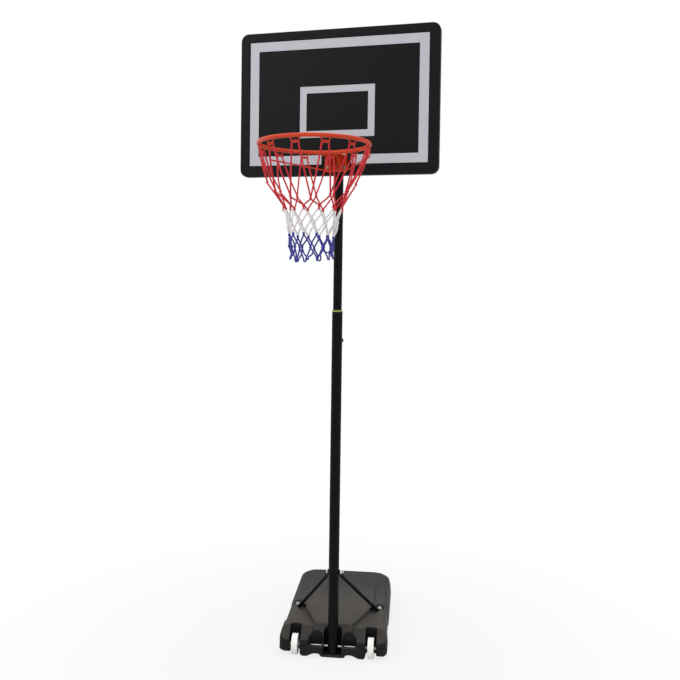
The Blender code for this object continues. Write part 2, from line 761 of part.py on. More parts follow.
def make_filler(base):
    carrier = group("filler_plug_pull", (0, FILLER_FACE_Y, FILLER_HEIGHT), base)
    seat = (0, FILLER_FACE_Y, FILLER_HEIGHT)
    gasket_inner = FILLER_BORE_RADIUS + GAP
    gasket = [
        (gasket_inner, GAP),
        (gasket_inner + GASKET_WIDTH, GAP),
        (gasket_inner + GASKET_WIDTH, GAP + GASKET_THICKNESS),
        (gasket_inner, GAP + GASKET_THICKNESS),
    ]
    make("filler_gasket", lathe(gasket, 24, closed=True), black_rubber(), seat, TO_Y, carrier)
    flange = GASKET_THICKNESS + 2 * GAP
    stem = FILLER_BORE_RADIUS - GAP
    plug = [
        (stem - 2 * EDGE, -FILLER_PLUG_DEPTH),
        (stem, -FILLER_PLUG_DEPTH + 3 * EDGE),
        (stem, flange),
        (FILLER_FLANGE_RADIUS, flange),
        (FILLER_FLANGE_RADIUS, flange + FILLER_FLANGE_THICKNESS - EDGE),
        (FILLER_FLANGE_RADIUS - EDGE, flange + FILLER_FLANGE_THICKNESS),
        (FILLER_GRIP_RADIUS, flange + FILLER_FLANGE_THICKNESS, HEX_SIDES),
        (FILLER_GRIP_RADIUS, flange + FILLER_FLANGE_THICKNESS + FILLER_GRIP_HEIGHT, HEX_SIDES),
    ]
    make("filler_plug", lathe(plug, 24), black_plastic(), seat, TO_Y, carrier)


def wheel_profile():
    """The wheel's closed section, as (radius, distance along the axle) points."""
    half = WHEEL_WIDTH / 2
    web = WHEEL_WEB_THICKNESS / 2
    bore = AXLE_RADIUS + HOLE_CLEARANCE
    rim = WHEEL_RADIUS - WHEEL_RIM_THICKNESS
    tread = []
    for centre in (-half / 3, half / 3):
        low = centre - WHEEL_GROOVE_WIDTH / 2
        high = centre + WHEEL_GROOVE_WIDTH / 2
        tread += [(WHEEL_RADIUS, low), (WHEEL_RADIUS - WHEEL_GROOVE_DEPTH, centre), (WHEEL_RADIUS, high)]
    return (
        [(bore, -half), (WHEEL_HUB_RADIUS, -half), (WHEEL_HUB_RADIUS, -web), (rim, -web), (rim, -half)]
        + [(WHEEL_RADIUS - WHEEL_EDGE_ROUND, -half), (WHEEL_RADIUS, -half + WHEEL_EDGE_ROUND)]
        + tread
        + [(WHEEL_RADIUS, half - WHEEL_EDGE_ROUND), (WHEEL_RADIUS - WHEEL_EDGE_ROUND, half)]
        + [(rim, half), (rim, web), (WHEEL_HUB_RADIUS, web), (WHEEL_HUB_RADIUS, half), (bore, half)]
    )


def make_wheels(base):
    for label, side in SIDES:
        centre = (side * WHEEL_TRACK / 2, 0, WHEEL_AXIS_HEIGHT)
        wheel = lathe(wheel_profile(), WHEEL_SEGMENTS, closed=True)
        make("wheel_" + label, wheel, white_plastic(), centre, TO_X, base)
    axle = lathe([
        (AXLE_RADIUS - EDGE, -AXLE_LENGTH / 2),
        (AXLE_RADIUS, -AXLE_LENGTH / 2 + EDGE),
        (AXLE_RADIUS, AXLE_LENGTH / 2 - EDGE),
        (AXLE_RADIUS - EDGE, AXLE_LENGTH / 2),
    ], 12)
    make("wheel_axle", axle, zinc_steel(), (0, 0, WHEEL_AXIS_HEIGHT), TO_X, base)
    for label, side in SIDES:
        inner = AXLE_LENGTH / 2 - AXLE_CAP_THICKNESS
        bore = AXLE_RADIUS + HOLE_CLEARANCE
        cap = lathe([
            (bore, inner),
            (AXLE_CAP_RADIUS, inner),
            (AXLE_CAP_RADIUS - EDGE, inner + AXLE_CAP_THICKNESS),
            (bore, inner + AXLE_CAP_THICKNESS),
        ], 12, closed=True)
        turn = TO_X if side > 0 else TO_MINUS_X
        make("axle_cap_" + label, cap, black_steel(), (0, 0, WHEEL_AXIS_HEIGHT), turn, base)


# Fasteners

def hex_bolt(shank):
    """A hexagon bolt along +Z, with the underside of its head at the origin."""
    flat = HEX_ACROSS_FLATS / 2
    return lathe([
        (flat - EDGE, -BOLT_HEAD_HEIGHT),
        (flat, -BOLT_HEAD_HEIGHT + EDGE / 2, HEX_SIDES),
        (flat, 0, HEX_SIDES),
        (BOLT_RADIUS, 0),
        (BOLT_RADIUS, shank - EDGE),
        (BOLT_RADIUS - EDGE, shank),
    ], BOLT_SEGMENTS)


def hex_nut():
    """A hexagon nut along +Z, standing on the origin."""
    flat = HEX_ACROSS_FLATS / 2
    bore = BOLT_RADIUS + HOLE_CLEARANCE
    return lathe([
        (bore, 0),
        (flat, 0, HEX_SIDES),
        (flat, NUT_HEIGHT, HEX_SIDES),
        (bore, NUT_HEIGHT),
    ], BOLT_SEGMENTS, closed=True)


def bolt_hole(bottom, top):
    return cylinder(BOLT_RADIUS + HOLE_CLEARANCE, bottom, top)


# Pole

def tube_profile(outer, inner, bottom, top):
    return [(outer, bottom), (outer, top), (inner, top), (inner, bottom)]


def end_plug(tube_inner, flange_radius, flange_thickness):
    """A plug for a tube's end: its flange ends at the origin and its spigot runs up from there."""
    return lathe([
        (flange_radius - EDGE, -flange_thickness),
        (flange_radius, -flange_thickness + EDGE),
        (flange_radius, 0),
        (tube_inner - GAP, 0),
        (tube_inner - GAP, PLUG_DEPTH),
    ], POLE_SEGMENTS)


def make_lower_poles(base):
    foot = SLOT_FLOOR + GAP + PLUG_FLANGE
    make("foot_plug", end_plug(POLE_INNER_RADIUS, LOWER_POLE_RADIUS, PLUG_FLANGE), black_plastic(),
         (0, 0, foot), None, base)
    bottom = foot + GAP
    neck_top = POLE_JOINT_HEIGHT + POLE_NECK_LENGTH
    neck_inner = NECK_RADIUS - POLE_WALL
    profile = [
        (LOWER_POLE_RADIUS, bottom),
        (LOWER_POLE_RADIUS, POLE_JOINT_HEIGHT),
        (NECK_RADIUS, POLE_JOINT_HEIGHT),
        (NECK_RADIUS, neck_top),
        (neck_inner, neck_top),
        (neck_inner, POLE_JOINT_HEIGHT - POLE_WALL),
        (POLE_INNER_RADIUS, POLE_JOINT_HEIGHT - POLE_WALL - POLE_NECK_TAPER),
        (POLE_INNER_RADIUS, bottom),
    ]
    lower = make("bottom_pole", lathe(profile, POLE_SEGMENTS, closed=True), black_steel(), parent=base)
    axle_hole = cylinder(AXLE_RADIUS + HOLE_CLEARANCE, -THROUGH, THROUGH, 12)
    cut(lower, "bottom_pole_axle_hole", axle_hole, (0, 0, WHEEL_AXIS_HEIGHT), TO_X)
    cut(lower, "bottom_pole_bolt_hole", bolt_hole(-THROUGH, THROUGH), (0, 0, STRUT_TOP_HEIGHT), TO_X)

    foot, head = POLE_JOINT_HEIGHT + GAP, MIDDLE_POLE_TOP - GAP
    profile = tube_profile(LOWER_POLE_RADIUS, POLE_INNER_RADIUS, foot, head)
    middle = make("middle_pole", lathe(profile, POLE_SEGMENTS, closed=True), black_steel(), parent=base)
    cut(middle, "middle_pole_bolt_hole", bolt_hole(-THROUGH, THROUGH), (0, 0, STRUT_TOP_HEIGHT), TO_X)
    cut(middle, "middle_pole_lock_hole", bolt_hole(0, THROUGH), (0, 0, LOCK_HEIGHT), TO_Y)

    slide = UPPER_POLE_RADIUS + GAP
    bush = [
        (slide, -BUSH_DEPTH),
        (POLE_INNER_RADIUS - GAP, -BUSH_DEPTH),
        (POLE_INNER_RADIUS - GAP, 0),
        (LOWER_POLE_RADIUS, 0),
        (LOWER_POLE_RADIUS, BUSH_FLANGE - BUSH_EDGE_HEIGHT),
        (LOWER_POLE_RADIUS - BUSH_EDGE_DEPTH, BUSH_FLANGE),
        (slide, BUSH_FLANGE),
    ]
    bush = lathe(bush, POLE_SEGMENTS, closed=True)
    make("pole_bush", bush, lime_plastic(), (0, 0, MIDDLE_POLE_TOP), None, base)


def make_top_pole(slide, upper):
    """The top pole and its cap, on the guide plug that slides in the middle pole and that they turn on."""
    profile = tube_profile(UPPER_POLE_RADIUS, TOP_POLE_INNER_RADIUS, TOP_POLE_BOTTOM, TOP_POLE_TOP)
    pole = make("top_pole", lathe(profile, POLE_SEGMENTS, closed=True), black_steel(), parent=upper)
    height_holes = []
    for step in range(HEIGHT_HOLES):
        hole = place(bolt_hole(-THROUGH, THROUGH), (0, 0, LOCK_HEIGHT + step * HEIGHT_STEP), TO_Y)
        height_holes.append(hole)
    cut(pole, "top_pole_height_holes", together(height_holes))
    saddle_holes = []
    for height in (LOWER_SADDLE_HEIGHT, UPPER_SADDLE_HEIGHT):
        saddle_holes.append(place(bolt_hole(-THROUGH, THROUGH), (0, 0, height), TO_X))
    cut(pole, "top_pole_saddle_holes", together(saddle_holes))
    glide = end_plug(TOP_POLE_INNER_RADIUS, POLE_INNER_RADIUS - GAP, GLIDE_FLANGE)
    make("pole_glide", glide, black_plastic(), (0, 0, TOP_POLE_BOTTOM - GAP), None, slide)
    cap = end_plug(TOP_POLE_INNER_RADIUS, UPPER_POLE_RADIUS, PLUG_FLANGE)
    flip = Matrix.Rotation(math.pi, 3, "X")
    make("pole_top_cap", cap, black_plastic(), (0, 0, TOP_POLE_TOP + GAP), flip, upper)


def make_lock(base):
    """A star knob on a bolt, in a nut on the back of the middle pole."""
    nut_seat = LOWER_POLE_RADIUS + GAP
    make("lock_nut", hex_nut(), zinc_steel(), (0, nut_seat, LOCK_HEIGHT), TO_Y, base)
    knob_seat = nut_seat + NUT_HEIGHT + KNOB_STANDOFF
    turner = group("lock_knob_turn", (0, knob_seat, LOCK_HEIGHT), base)
    nose = UPPER_POLE_RADIUS + 2 * GAP
    bolt_end = knob_seat + KNOB_BOLT_DEPTH
    bolt = lathe([
        (BOLT_RADIUS - EDGE, nose - knob_seat),
        (BOLT_RADIUS, nose - knob_seat + EDGE),
        (BOLT_RADIUS, bolt_end - knob_seat),
    ], BOLT_SEGMENTS)
    make("lock_bolt", bolt, zinc_steel(), (0, knob_seat, LOCK_HEIGHT), TO_Y, turner)
    rings = []
    heights = (0, KNOB_EDGE, KNOB_THICKNESS - KNOB_EDGE, KNOB_THICKNESS)
    for height, shrink in zip(heights, (KNOB_EDGE, 0, 0, KNOB_EDGE)):
        ring = []
        for step in range(KNOB_LOBES * 8):
            angle = 2 * math.pi * step / (KNOB_LOBES * 8)
            radius = KNOB_RADIUS - shrink - KNOB_LOBE_DEPTH * (1 - math.cos(KNOB_LOBES * angle)) / 2
            ring.append((radius * math.cos(angle), radius * math.sin(angle), height))
        rings.append(ring)
    knob = make("lock_knob", loft(rings), black_plastic(), (0, knob_seat, LOCK_HEIGHT), TO_Y, turner)
    socket = cylinder(BOLT_RADIUS + GAP, -PAST, KNOB_BOLT_DEPTH + GAP)
    cut(knob, "lock_knob_socket", socket, (0, knob_seat, LOCK_HEIGHT), TO_Y)


# Struts

def strut_rings(side):
    """Sections of a strut from its top flat, beside the pole, to its foot flat, in the tank's recess."""
    top_x = side * (STRUT_FLAT_INNER_X + STRUT_FLAT_THICKNESS / 2)
    top = Vector((top_x, 0, STRUT_TOP_HEIGHT))
    foot = Vector((side * STRUT_FOOT_X, STRUT_FOOT_Y, STRUT_FOOT_HEIGHT))
    heading = strut_heading(side)
    inward = Vector((heading.x, heading.y, 0))
    down = Vector((0, foot.y - top.y, foot.z - top.z)).normalized()
    top_end = top + down * STRUT_FLAT_LENGTH
    foot_end = foot + inward * STRUT_FLAT_LENGTH
    run = (foot_end - top_end).normalized()
    flat = (STRUT_FLAT_HALF_WIDTH, STRUT_FLAT_THICKNESS / 2)
    tube = (STRUT_RADIUS, STRUT_RADIUS)
    tip = (STRUT_FLAT_HALF_WIDTH * 0.6, STRUT_FLAT_THICKNESS / 2)
    outward = Vector((side, 0, 0))
    up = Vector((0, 0, 1))
    slant = (outward + up).normalized()
    sections = [
        (top - down * STRUT_FLAT_TIP, down, outward, tip),
        (top - down * STRUT_FLAT_TIP * 0.6, down, outward, flat),
        (top_end, down, outward, flat),
        (top_end + run * STRUT_FLARE, run, outward, tube),
        ((top_end + foot_end) / 2, run, slant, tube),
        (foot_end - run * STRUT_FLARE, run, up, tube),
        (foot_end, -inward, up, flat),
        (foot - inward * STRUT_FLAT_TIP * 0.6, -inward, up, flat),
        (foot - inward * STRUT_FLAT_TIP, -inward, up, tip),
    ]
    rings = []
    for centre, along, thickness, (half_width, half_thick) in sections:
        broad = along.cross(thickness).normalized()
        thin = broad.cross(along).normalized()
        ring = []
        for step in range(STRUT_SECTIONS):
            angle = 2 * math.pi * step / STRUT_SECTIONS
            ring.append(centre + broad * half_width * math.cos(angle) + thin * half_thick * math.sin(angle))
        rings.append(ring)
    return rings


def make_struts(base):
    for label, side in SIDES:
        strut = make("strut_" + label, loft(strut_rings(side)), black_steel(), parent=base)
        top = (0, 0, STRUT_TOP_HEIGHT)
        foot = (side * STRUT_FOOT_X, STRUT_FOOT_Y, 0)
        cut(strut, "strut_" + label + "_top_hole", bolt_hole(-THROUGH, THROUGH), top, TO_X)
        cut(strut, "strut_" + label + "_foot_hole", bolt_hole(RECESS_FLOOR - PAST, RECESS_FLOOR + PAST), foot)

        flat_top = RECESS_FLOOR + GAP + STRUT_FLAT_THICKNESS
        washer_seat = (side * STRUT_FOOT_X, STRUT_FOOT_Y, flat_top + GAP)
        bore = BOLT_RADIUS + HOLE_CLEARANCE
        washer = lathe(tube_profile(WASHER_RADIUS, bore, 0, WASHER_THICKNESS), 12, closed=True)
        make("strut_washer_" + label, washer, zinc_steel(), washer_seat, None, base)
        head_seat = washer_seat[2] + WASHER_THICKNESS + GAP
        shank = head_seat - (RECESS_FLOOR - INSERT_LENGTH + GAP)
        turn = Matrix.Rotation(math.pi, 3, "X")
        make("strut_bolt_" + label, hex_bolt(shank), zinc_steel(),
             (side * STRUT_FOOT_X, STRUT_FOOT_Y, head_seat), turn, base)
        profile = tube_profile(INSERT_RADIUS, bore, RECESS_FLOOR - INSERT_LENGTH, RECESS_FLOOR - GAP)
        insert = lathe(profile, 12, closed=True)
        make("strut_insert_" + label, insert, zinc_steel(), foot, None, base)

    seat = STRUT_FLAT_OUTER_X + GAP
    shank = 2 * seat + NUT_HEIGHT + STRUT_BOLT_THREAD
    make("strut_top_bolt", hex_bolt(shank), zinc_steel(), (-seat, 0, STRUT_TOP_HEIGHT), TO_X, base)
    make("strut_top_nut", hex_nut(), zinc_steel(), (seat, 0, STRUT_TOP_HEIGHT), TO_X, base)


# Board

def board_ring(inset, y):
    """One ring of the board's round-cornered outline, drawn in by an inset, at a depth."""
    radius = max(BOARD_CORNER_RADIUS - inset, BOARD_LEAST_RADIUS)
    half_width = BOARD_WIDTH / 2 - inset
    low = BOARD_BOTTOM + inset
    high = BOARD_BOTTOM + BOARD_HEIGHT - inset
    outline = rounded_rectangle(half_width, low, high, radius, BOARD_CORNER_SEGMENTS)
    return [(x, y, z) for x, z in outline]


def board_pockets():
    """The spaces between the ribs on the board's back, column by column and row by row."""
    rib = BOARD_RIB_THICKNESS
    centre = BOARD_CENTRE_COLUMN / 2
    side_edge = BOARD_WIDTH / 2 - BOARD_SIDE_WALL * 2
    side_width = (side_edge - centre) / BOARD_SIDE_COLUMNS
    columns = [(-centre + rib / 2, centre - rib / 2)]
    for column in range(BOARD_SIDE_COLUMNS):
        low = centre + column * side_width + rib / 2
        high = centre + (column + 1) * side_width - rib / 2
        columns += [(low, high), (-high, -low)]
    bottom = BOARD_BOTTOM + BOARD_SIDE_WALL * 2
    row_height = (BOARD_HEIGHT - BOARD_SIDE_WALL * 4) / BOARD_ROWS
    back = PANEL_BACK_Y + BOARD_RIB_DEPTH + PAST
    pockets = []
    for left, right in columns:
        for row in range(BOARD_ROWS):
            low = bottom + row * row_height + rib / 2
            high = bottom + (row + 1) * row_height - rib / 2
            pockets.append(box((left, PANEL_BACK_Y, low), (right, back, high)))
    return together(pockets)


def make_board(upper):
    chamfer = BOARD_EDGE_CHAMFER
    rings = [
        board_ring(0, BOARD_BACK_Y),
        board_ring(0, BOARD_FRONT_Y + chamfer),
        board_ring(chamfer * 0.4, BOARD_FRONT_Y + chamfer * 0.3),
        board_ring(chamfer, BOARD_FRONT_Y),
        board_ring(BOARD_FRAME_WIDTH, BOARD_FRONT_Y),
        board_ring(BOARD_FRAME_WIDTH + BOARD_FRAME_PROUD, BOARD_FACE_Y),
    ]
    board = make("backboard", loft(rings), black_plastic(), parent=upper)
    tray_front = PANEL_BACK_Y + BOARD_RIB_DEPTH
    tray = loft([board_ring(BOARD_SIDE_WALL, y) for y in (tray_front, BOARD_BACK_Y + PAST)])
    cut(board, "board_tray", tray)
    pockets = cut(board, "board_pockets", board_pockets())
    limit = loft([board_ring(BOARD_SIDE_WALL * 2, y) for y in (BOARD_FACE_Y, BOARD_BACK_Y + PAST)])
    combine(pockets, "INTERSECT", "board_pocket_limit", limit)
    pad_low = (-BRACKET_PAD_HALF_WIDTH, BOARD_FRONT_Y, BOARD_BOTTOM + BOARD_FRAME_WIDTH / 2)
    pad_high = (BRACKET_PAD_HALF_WIDTH, BOARD_FACE_Y + BOARD_PANEL_THICKNESS / 2, BRACKET_PAD_TOP)
    fuse(board, "board_bracket_pad", box(pad_low, pad_high))

    bosses = []
    pilot_holes = []
    for _, side in SIDES:
        spot = (side * BRACKET_BOLT_X, PANEL_BACK_Y, UPPER_SADDLE_HEIGHT)
        bosses.append(place(cylinder(BOSS_RADIUS, -BOSS_ROOT, BOSS_HEIGHT), spot, TO_Y))
        hole = cylinder(SCREW_RADIUS + GAP, BOSS_HEIGHT - SCREW_LENGTH, BOSS_HEIGHT + PAST)
        pilot_holes.append(place(hole, spot, TO_Y))
    fuse(board, "board_bosses", together(bosses))
    cut(board, "board_pilot_holes", together(pilot_holes))
    cut(board, "board_bolt_holes", together(rim_bolt_holes()))


def rim_bolt_spots():
    """Where the hoop's four bolts go through the board, as (x, z)."""
    return [(side * BRACKET_BOLT_X, height) for height in BRACKET_BOLT_HEIGHTS for _, side in SIDES]


def rim_bolt_holes():
    holes = []
    for x, z in rim_bolt_spots():
        holes.append(place(bolt_hole(-THROUGH, THROUGH), (x, BOARD_FACE_Y, z), TO_Y))
    return holes


def make_stripes(upper):
    """The grey border, broken above the hoop's bracket, and the grey target rectangle."""
    seat = BOARD_FACE_Y - GAP
    wide = BOARD_WIDTH / 2 - BORDER_SIDE_MARGIN
    low = BOARD_BOTTOM + BORDER_BOTTOM_MARGIN
    high = BOARD_BOTTOM + BOARD_HEIGHT - BORDER_TOP_MARGIN
    gap = BORDER_BREAK / 2
    band = BORDER_WIDTH
    outline = [
        (gap, low), (wide, low), (wide, high), (-wide, high), (-wide, low), (-gap, low),
        (-gap, low + band), (-wide + band, low + band), (-wide + band, high - band),
        (wide - band, high - band), (wide - band, low + band), (gap, low + band),
    ]
    border = prism(outline, 0, STRIPE_THICKNESS)
    make("border_stripe", border, grey_print(), (0, seat, 0), TO_MINUS_Y, upper, smooth=False)

    half = TARGET_WIDTH / 2
    foot = BOARD_BOTTOM + TARGET_RISE
    head = foot + TARGET_HEIGHT
    outer = [(half, foot), (half, head), (-half, head), (-half, foot)]
    trim = TARGET_BAND
    inner = [(half - trim, foot + trim), (half - trim, head - trim),
             (-half + trim, head - trim), (-half + trim, foot + trim)]
    target = framed_prism(outer, inner, 0, STRIPE_THICKNESS)
    make("target_stripe", target, grey_print(), (0, seat, 0), TO_MINUS_Y, upper, smooth=False)


def make_saddle(name, upper, front_y, height, half_tall):
    """A pressed saddle: a plate on the board's back, with two ears along the pole's sides."""
    low = (-SADDLE_HALF_WIDTH, front_y, height - half_tall)
    high = (SADDLE_HALF_WIDTH, front_y + SADDLE_SHEET, height + half_tall)
    saddle = make(name, box(low, high), black_steel(), parent=upper, smooth=False)
    inner = UPPER_POLE_RADIUS + SADDLE_EAR_CLEARANCE
    ear_half = half_tall - SADDLE_EAR_MARGIN
    ears = []
    for _, side in SIDES:
        left, right = sorted((side * inner, side * (inner + SADDLE_SHEET)))
        ear_low = (left, front_y + SADDLE_SHEET / 2, height - ear_half)
        ears.append(box(ear_low, (right, SADDLE_EAR_BACK, height + ear_half)))
    fuse(saddle, name + "_ears", together(ears))
    cut(saddle, name + "_pole_bolt_hole", bolt_hole(-THROUGH, THROUGH), (0, 0, height), TO_X)
    return saddle


def make_saddles(upper):
    half_tall = (BRACKET_TOP - BRACKET_BOTTOM) / 2
    lower_front = PANEL_BACK_Y + GAP
    plate_middle = (BRACKET_TOP + BRACKET_BOTTOM) / 2
    half_tall -= abs(plate_middle - LOWER_SADDLE_HEIGHT)
    lower = make_saddle("lower_saddle", upper, lower_front, LOWER_SADDLE_HEIGHT, half_tall)
    cut(lower, "lower_saddle_bolt_holes", together(rim_bolt_holes()))
    top = make_saddle("upper_saddle", upper, UPPER_SADDLE_FRONT_Y, UPPER_SADDLE_HEIGHT, UPPER_SADDLE_TALL / 2)
    screw_holes = []
    for _, side in SIDES:
        hole = cylinder(SCREW_RADIUS + GAP, -PAST, PAST)
        spot = (side * BRACKET_BOLT_X, UPPER_SADDLE_FRONT_Y, UPPER_SADDLE_HEIGHT)
        screw_holes.append(place(hole, spot, TO_Y))
    cut(top, "upper_saddle_screw_holes", together(screw_holes))
    for label, side in SIDES:
        seat = UPPER_SADDLE_BACK_Y + GAP
        reach = seat - (PANEL_BACK_Y + BOSS_HEIGHT - SCREW_LENGTH + GAP)
        screw = lathe([
            (SCREW_HEAD_RADIUS - EDGE, SCREW_HEAD_HEIGHT),
            (SCREW_HEAD_RADIUS, SCREW_HEAD_HEIGHT / 2),
            (SCREW_HEAD_RADIUS, 0),
            (SCREW_RADIUS, 0),
            (SCREW_RADIUS, -reach),
        ], BOLT_SEGMENTS)
        make("saddle_screw_" + label, screw, zinc_steel(),
             (side * BRACKET_BOLT_X, seat, UPPER_SADDLE_HEIGHT), TO_Y, upper)

    ear_outer = UPPER_POLE_RADIUS + SADDLE_EAR_CLEARANCE + SADDLE_SHEET + GAP
    for label, height in (("lower", LOWER_SADDLE_HEIGHT), ("upper", UPPER_SADDLE_HEIGHT)):
        shank = 2 * ear_outer + NUT_HEIGHT + BOLT_END
        make(label + "_saddle_bolt", hex_bolt(shank), zinc_steel(), (-ear_outer, 0, height), TO_X, upper)
        make(label + "_saddle_nut", hex_nut(), zinc_steel(), (ear_outer, 0, height), TO_X, upper)


# Hoop

def sweep(path, radius, sides):
    """A rod along a path of points, with mitred corners."""
    path = [Vector(point) for point in path]
    rings = []
    normal = None
    for index, point in enumerate(path):
        before = (point - path[index - 1]).normalized() if index else None
        after = (path[index + 1] - point).normalized() if index + 1 < len(path) else None
        along = ((before or after) + (after or before)).normalized()
        if normal is None:
            normal = along.orthogonal()
        normal = (normal - along * normal.dot(along)).normalized()
        broad = along.cross(normal)
        ring = []
        for step in range(sides):
            angle = 2 * math.pi * step / sides
            ring.append(point + (normal * math.cos(angle) + broad * math.sin(angle)) * radius)
        rings.append(ring)
    return loft(rings)


def rim_point(angle, radius, height):
    """A point about the hoop's centre; angle 0 is the front and positive turns to the right."""
    turn = math.radians(angle)
    return Vector((radius * math.sin(turn), RIM_CENTRE_Y - radius * math.cos(turn), height))


def hook_angles():
    return [HOOK_FIRST_ANGLE + 360.0 / HOOK_COUNT * hook for hook in range(HOOK_COUNT)]


def hook_offset(width):
    """Half a hook's width as an angle at the hoop."""
    return math.degrees(width / 2 / RIM_RADIUS)


def make_rim(upper):
    rings = []
    for step in range(RIM_SEGMENTS):
        angle = 360.0 * step / RIM_SEGMENTS
        ring = []
        for turn in range(RIM_ROD_SEGMENTS):
            around = 2 * math.pi * (turn + 0.5) / RIM_ROD_SEGMENTS
            radius = RIM_RADIUS + RIM_ROD_RADIUS * math.cos(around)
            ring.append(rim_point(angle, radius, RIM_HEIGHT + RIM_ROD_RADIUS * math.sin(around)))
        rings.append(ring)
    rim = make("rim_ring", loft(rings, closed=True), orange_steel(), parent=upper)
    hooks = []
    for angle in hook_angles():
        at_root, at_bar = hook_offset(HOOK_ROOT_WIDTH), hook_offset(HOOK_BAR_WIDTH)
        root = RIM_HEIGHT - RIM_ROD_RADIUS / 2
        path = [
            rim_point(angle - at_root, RIM_RADIUS, root),
            rim_point(angle - at_bar, RIM_RADIUS, HOOK_BAR_HEIGHT),
            rim_point(angle + at_bar, RIM_RADIUS, HOOK_BAR_HEIGHT),
            rim_point(angle + at_root, RIM_RADIUS, root),
        ]
        hooks.append(sweep(path, HOOK_WIRE_RADIUS, HOOK_WIRE_SIDES))
    fuse(rim, "rim_hooks", together(hooks))


def make_bracket(upper):
    """The hoop's bracket: a plate on the board, a tongue to the hoop and two gussets under it."""
    plate_low = (-BRACKET_HALF_WIDTH, BRACKET_FRONT_Y, BRACKET_BOTTOM)
    plate_high = (BRACKET_HALF_WIDTH, BRACKET_BACK_Y, BRACKET_TOP)
    bracket = make("rim_bracket", box(plate_low, plate_high), orange_steel(), parent=upper, smooth=False)

    reach = RIM_RADIUS + RIM_ROD_RADIUS + GAP
    swing = math.degrees(math.asin(TONGUE_HALF_WIDTH / reach))
    weld = arc((0, RIM_CENTRE_Y), reach, 90 - swing, 90 + swing, 8)
    root = BRACKET_FRONT_Y + BRACKET_SHEET / 2
    flared = TONGUE_HALF_WIDTH + TONGUE_FLARE
    tongue = [(flared, root)] + weld + [(-flared, root)]
    fuse(bracket, "bracket_tongue", prism(tongue, RIM_HEIGHT - BRACKET_SHEET, RIM_HEIGHT))

    gussets = []
    for _, side in SIDES:
        outer = GUSSET_HALF_SPACING
        left, right = sorted((side * outer, side * (outer - BRACKET_SHEET)))
        under = RIM_HEIGHT - BRACKET_SHEET / 2
        foot = BRACKET_BOTTOM + BRACKET_SHEET
        tip = root - GUSSET_REACH
        outline = [(root, foot), (root, under), (tip, under), (tip, under - GUSSET_TIP)]
        slab = prism(outline, left, right)
        gussets.append(([(z, x, y) for x, y, z in slab[0]], slab[1]))
    fuse(bracket, "bracket_gussets", together(gussets))
    cut(bracket, "bracket_bolt_holes", together(rim_bolt_holes()))


def make_braces(upper):
    """Round braces that drop from the hoop and run back to the sides of the bracket's plate."""
    for label, side in SIDES:
        angle = side * BRACE_ANGLE
        under_rim = RIM_HEIGHT - RIM_ROD_RADIUS - GAP
        low = under_rim - BRACE_DROP
        elbow = rim_point(angle, RIM_RADIUS, low)
        foot_x = side * (BRACKET_HALF_WIDTH + GAP + BRACE_RADIUS)
        foot = Vector((foot_x, BRACKET_BACK_Y, BRACKET_BOTTOM + BRACE_FOOT_RISE))
        knee = foot - Vector((0, BRACE_LAP, 0))
        run = (knee - elbow).normalized()
        path = [rim_point(angle, RIM_RADIUS, under_rim), elbow + Vector((0, 0, BRACE_BEND))]
        path += [elbow + (run + Vector((0, 0, 1))) * BRACE_BEND * 0.3, elbow + run * BRACE_BEND, knee, foot]
        make("rim_brace_" + label, sweep(path, BRACE_RADIUS, BRACE_SIDES), orange_steel(), parent=upper)


def make_rim_bolts(upper):
    seat = BRACKET_FRONT_Y - GAP
    nut_seat = LOWER_SADDLE_BACK_Y + GAP
    shank = nut_seat + NUT_HEIGHT + BOLT_END - seat
    for number, (x, z) in enumerate(rim_bolt_spots(), start=1):
        make("rim_bolt_%d" % number, hex_bolt(shank), zinc_steel(), (x, seat, z), TO_Y, upper)
        make("rim_nut_%d" % number, hex_nut(), zinc_steel(), (x, nut_seat, z), TO_Y, upper)


# Net

class Knot:
    """A knot of the net: a diamond with a six-sided port towards each of its four cords."""

    def __init__(self, mesh, angle, radius, height, slope):
        self.centre = rim_point(angle, radius, height)
        out = rim_point(angle, 1.0, height) - rim_point(angle, 0.0, height)
        up = (Vector((0, 0, 1)) + out * slope).normalized()
        right = up.cross(out).normalized()
        tall = up * NET_KNOT_HEIGHT / 2
        wide = right * NET_KNOT_WIDTH / 2
        corners = [tall, wide, -tall, -wide]
        middles = [(corners[i] + corners[(i + 1) % 4]) / 2 for i in range(4)]
        thick = out * NET_CORD_RADIUS
        self.front_corner = [mesh.add(self.centre + c + thick * 0.5) for c in corners]
        self.back_corner = [mesh.add(self.centre + c - thick * 0.5) for c in corners]
        self.front_middle = [mesh.add(self.centre + m + thick) for m in middles]
        self.back_middle = [mesh.add(self.centre + m - thick) for m in middles]
        front = mesh.add(self.centre + thick * NET_KNOT_SWELL)
        back = mesh.add(self.centre - thick * NET_KNOT_SWELL)
        for i in range(4):
            after = (i + 1) % 4
            mesh.faces += [
                (front, self.front_corner[i], self.front_middle[i], self.front_corner[after]),
                (back, self.back_corner[after], self.back_middle[i], self.back_corner[i]),
            ]

    def port(self, face):
        """The six points of a port, from its first corner at the front round to the back."""
        after = (face + 1) % 4
        return [
            self.front_corner[face], self.front_middle[face], self.front_corner[after],
            self.back_corner[after], self.back_middle[face], self.back_corner[face],
        ]


